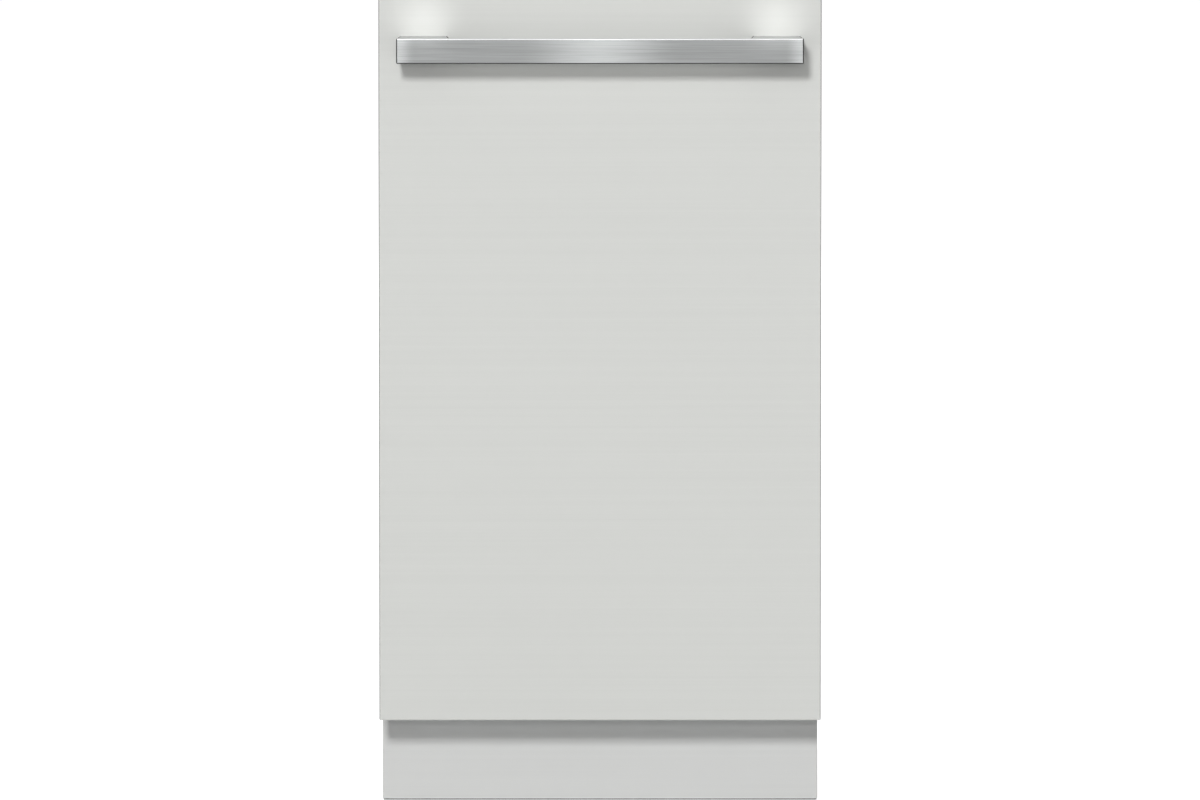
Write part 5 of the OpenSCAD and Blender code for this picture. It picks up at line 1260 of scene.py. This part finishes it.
class DISHWASHER_OT_rack_fittings(bpy.types.Operator):
    """Coated tine tips, grips and wheel caps of the racks"""

    bl_idname = "dishwasher.rack_fittings"
    bl_label = "Rack fittings"

    def execute(self, context):
        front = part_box("lower_rack")[0].y
        tine_tips("lower_tine_tips", "lower_rack", "wire", (1, 3, 6),
                  front + 30 * MM, front + 345 * MM, 251.4 * MM)
        tine_tips("fold_tine_tips", "fold_tines", "tine", (4,),
                  front + 30 * MM, front + 345 * MM, 250.35 * MM)
        tine_tips("upper_tine_tips", "upper_rack", "wire", (4, 5),
                  front + 60 * MM, front + 332 * MM, 540.6 * MM)
        hook = in_mm((3.2, 3.4), (2.4, 4.6), (-6.0, 4.6), (-8.2, 2.2), (-8.2, -17.0),
                     (-6.6, -19.0), (-5.0, -17.6), (-4.4, -3.0), (-2.6, 2.4), (2.6, 2.4))
        half, rib, rib_half = 72 * MM, 66 * MM, 4 * MM
        for body in ("lower_rack", "upper_rack"):
            lo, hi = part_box(body)
            top = hi.z - 2 * MM if body == "lower_rack" else 610 * MM
            y = lo.y + 2 * MM
            bm = bmesh.new()
            add_prism(bm, [(y + a, top + b) for a, b in hook], -half, half, axis=0,
                      radius=0.5 * MM, segments=2)
            for side in SIDES:
                add_block(bm, (side * rib - rib_half, y - 7.4 * MM, top - 15 * MM),
                          (side * rib + rib_half, y - 2.4 * MM, top + 3.6 * MM),
                          radius=0.8 * MM, segments=2)
            add_object(f"{body}_grip", bm, "grey", body)
        caps = bmesh.new()
        cap = in_mm((5.4, 0.0), (5.4, 0.8), (4.4, 1.5), (2.0, 1.8))
        for name in ("front_wheels", "rear_wheels"):
            lo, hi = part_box(name)
            for side in SIDES:
                turned(caps, cap, (side * (hi.x + 1.2 * MM), (lo.y + hi.y) / 2,
                                   (lo.z + hi.z) / 2), (side, 0, 0), steps=28)
        add_object("wheel_caps", caps, "grey", "lower_rack")
        return {"FINISHED"}


class DISHWASHER_OT_small_parts(bpy.types.Operator):
    """Display window, sight glass, filter sleeve and tub vent"""

    bl_idname = "dishwasher.small_parts"
    bl_label = "Small parts"

    def execute(self, context):
        # Display window, and lamps beside the buttons
        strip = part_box("control_strip")[1]
        middle, window_x, half_x, half_y = strip.y - 26 * MM, 105 * MM, 34.7 * MM, 7.7 * MM
        bm = bmesh.new()
        add_block(bm, (window_x - half_x, middle - half_y, strip.z - 0.8 * MM),
                  (window_x + half_x, middle + half_y, strip.z - 0.05 * MM), radius=0.35 * MM)
        lamp = in_mm((1.3, -0.4), (1.3, 0.1), (0.9, 0.3), (0.4, 0.36))
        for x in (-120, -106, -92, -78, -64, 156):
            turned(bm, lamp, (x * MM, middle, strip.z), UP, steps=18)
        add_object("display_window", bm, "glass", "door")
        # Sight glass of the rinse aid
        face, lens_x, lens_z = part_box("dispenser")[0].y + 32 * MM, -24 * MM, 536 * MM
        lens = in_mm((6.0, -0.5), (6.0, 0.5), (5.2, 1.2), (2.5, 1.7))
        bm = bmesh.new()
        turned(bm, lens, (lens_x, face, lens_z), BACK)
        add_object("sight_glass", bm, "glass", "door")
        # Micro mesh sleeve round the filter cylinder
        lo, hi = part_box("filter_cylinder")
        low, high, inner, outer = lo.z + 5 * MM, hi.z - 24 * MM, 36.6 * MM, 36.9 * MM
        bm = bmesh.new()
        ring_solid(bm, [(inner, low), (outer, low), (outer, high), (inner, high)],
                   (0.0, (lo.y + hi.y) / 2, 0), UP, steps=72)
        add_object("filter_sleeve", bm, "mesh", "filter_cylinder")
        # Vent on the tub's left wall, with five ribs
        wall, vent_y, vent_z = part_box("tub")[0].x + 1 * MM, 120 * MM, 405 * MM
        profile = [(30, -0.2), (30, 0.6), (29, 1.4)]
        for edge in (27, 22.4, 17.8, 13.2, 8.6):
            profile += [(edge, 1.4), (edge - 0.5, 0.5), (edge - 2.2, 0.5), (edge - 2.7, 1.6)]
        bm = bmesh.new()
        turned(bm, in_mm(*profile), (wall, vent_y, vent_z), ACROSS, steps=48)
        add_object("tub_vent", bm, "grey", "root")
        return {"FINISHED"}


# Stage


def ray_switch(tree):
    """1 for rays that show the background itself: from the camera, a mirror or through glass"""
    path = tree.nodes.new("ShaderNodeLightPath").outputs
    seen = math_node(tree, "MAXIMUM", path["Is Camera Ray"], path["Is Glossy Ray"])
    return math_node(tree, "MAXIMUM", seen, path["Is Transmission Ray"])


def white_sky(scene, settings):
    """White where it is seen, and a faint light all round"""
    world = bpy.data.worlds.new("Sky")
    scene.world = world
    world.use_nodes = True
    tree = world.node_tree
    feed(tree, tree.nodes["Background"], Color=(1.0, 1.0, 1.0, 1.0),
         Strength=range_node(tree, ray_switch(tree), 0.0, 1.0, settings.sky_strength, 1.0))


def add_floor(settings):
    """Pale floor that adds light only where it is seen"""
    material, tree, shader = start_material("Pale floor", 0.9, specular=0.0)
    feed(tree, shader, Base_Color=(*settings.floor_colour, 1.0))
    glow = feed(tree, tree.nodes.new("ShaderNodeEmission"),
                Strength=range_node(tree, ray_switch(tree), 0.0, 1.0, 0.0, settings.floor_glow))
    both = tree.nodes.new("ShaderNodeAddShader")
    put(tree, both.inputs[0], shader.outputs[0])
    put(tree, both.inputs[1], glow.outputs[0])
    put(tree, tree.nodes["Material Output"].inputs["Surface"], both.outputs[0])
    bm = bmesh.new()
    bmesh.ops.create_grid(bm, x_segments=8, y_segments=8, size=30.0)
    return mesh_object("floor", bm, material)


def add_lamp(name, kind, aim, azimuth, elevation, distance, power):
    """Lamp turned to its aim; azimuth 0 is in front of the machine, and 90 on its right"""
    lamp = bpy.data.lights.new(name, kind)
    lamp.energy = power
    obj = bpy.data.objects.new(name, lamp)
    bpy.context.scene.collection.objects.link(obj)
    a, e = math.radians(azimuth), math.radians(elevation)
    away = Vector((math.sin(a) * math.cos(e), -math.cos(a) * math.cos(e), math.sin(e)))
    obj.location = aim + away * distance
    obj.rotation_mode = "QUATERNION"
    obj.rotation_quaternion = away.to_track_quat("Z", "Y")
    obj.visible_camera = False
    return obj


def add_softbox(name, aim, azimuth, elevation, distance, size, power):
    """Square lamp that casts soft shadows"""
    obj = add_lamp(name, "AREA", aim, azimuth, elevation, distance, power)
    obj.data.shape = "SQUARE"
    obj.data.size = size
    return obj


class DISHWASHER_OT_stage(bpy.types.Operator):
    """Floor, lamps and camera"""

    bl_idname = "dishwasher.stage"
    bl_label = "Stage"

    def execute(self, context):
        scene = context.scene
        settings = scene.dishwasher_stage
        white_sky(scene, settings)
        floor = add_floor(settings)
        aim = Vector((0.0, FRONT_LO.y, settings.aim_height))
        self.add_lamps(aim, settings)
        camera = bpy.data.cameras.new("camera")
        camera.sensor_width = 36.0
        camera.lens = camera.sensor_width * settings.camera_distance / settings.picture_width
        camera.clip_start, camera.clip_end = 0.1, 200.0
        eye = bpy.data.objects.new("camera", camera)
        scene.collection.objects.link(eye)
        rise = settings.camera_elevation
        back = Vector((0.0, -math.cos(rise), math.sin(rise)))
        eye.location = aim + back * settings.camera_distance
        eye.rotation_euler = (math.pi / 2 - rise, 0.0, 0.0)
        scene.camera = eye
        scene.view_settings.view_transform = "Standard"
        return {"FINISHED"}

    def add_lamps(self, aim, settings):
        """Softboxes round the machine, and a spot on the panel above each handle foot"""
        add_softbox("key_lamp", aim, azimuth=-9, elevation=24, distance=12.0, size=1.8,
                    power=settings.key_power)
        add_softbox("fill_lamp", aim, azimuth=1, elevation=9.5, distance=12.0, size=0.48,
                    power=settings.fill_power)
        for azimuth in (150, 215):
            lamp = add_softbox(f"rear_lamp_{azimuth}", aim, azimuth, elevation=35,
                               distance=8.0, size=2.8, power=settings.rear_power)
            lamp.visible_glossy = False
        distance, radius, foot_x, above_bar = 3.0, 34 * MM, 178 * MM, 15 * MM
        for label, side in (("left", -1), ("right", 1)):
            spot_aim = Vector((side * foot_x, FRONT_LO.y, BAR_HI.z + above_bar))
            spot = add_lamp(f"foot_spot_{label}", "SPOT", spot_aim, azimuth=0, elevation=9.5,
                            distance=distance, power=settings.spot_power).data
            spot.spot_size = 2 * math.atan(radius / distance)
            spot.spot_blend = 1.0
            spot.shadow_soft_size = 20 * MM


class DISHWASHER_PT_panel(bpy.types.Panel):
    """Lists the steps that dress the dishwasher"""

    bl_idname = "DISHWASHER_PT_panel"
    bl_label = "Dishwasher"
    bl_space_type = "VIEW_3D"
    bl_region_type = "UI"
    bl_category = "Dishwasher"

    def draw(self, context):
        layout = self.layout
        scene = context.scene
        for step in STEPS:
            layout.operator(step.bl_idname)
        for settings in (scene.dishwasher_front, scene.dishwasher_inside,
                         scene.dishwasher_stage):
            column = layout.column(align=True)
            for name in settings.bl_rna.properties.keys():
                if name not in ("rna_type", "name"):
                    column.prop(settings, name)


STEPS = (
    DISHWASHER_OT_finishes,
    DISHWASHER_OT_front_panel,
    DISHWASHER_OT_handle,
    DISHWASHER_OT_toe_kick,
    DISHWASHER_OT_carcass,
    DISHWASHER_OT_door_liner,
    DISHWASHER_OT_gasket,
    DISHWASHER_OT_spray_arms,
    DISHWASHER_OT_feet,
    DISHWASHER_OT_connectors,
    DISHWASHER_OT_rack_fittings,
    DISHWASHER_OT_small_parts,
    DISHWASHER_OT_stage,
)
CLASSES = (FrontSettings, InsideSettings, StageSettings, *STEPS, DISHWASHER_PT_panel)


def register():
    for cls in CLASSES:
        bpy.utils.register_class(cls)
    bpy.types.Scene.dishwasher_front = PointerProperty(type=FrontSettings)
    bpy.types.Scene.dishwasher_inside = PointerProperty(type=InsideSettings)
    bpy.types.Scene.dishwasher_stage = PointerProperty(type=StageSettings)


def unregister():
    del bpy.types.Scene.dishwasher_stage
    del bpy.types.Scene.dishwasher_inside
    del bpy.types.Scene.dishwasher_front
    for cls in reversed(CLASSES):
        bpy.utils.unregister_class(cls)


def main():
    register()
    for step in STEPS:
        group, name = step.bl_idname.split(".")
        getattr(getattr(bpy.ops, group), name)()


if __name__ == "__main__":
    main()
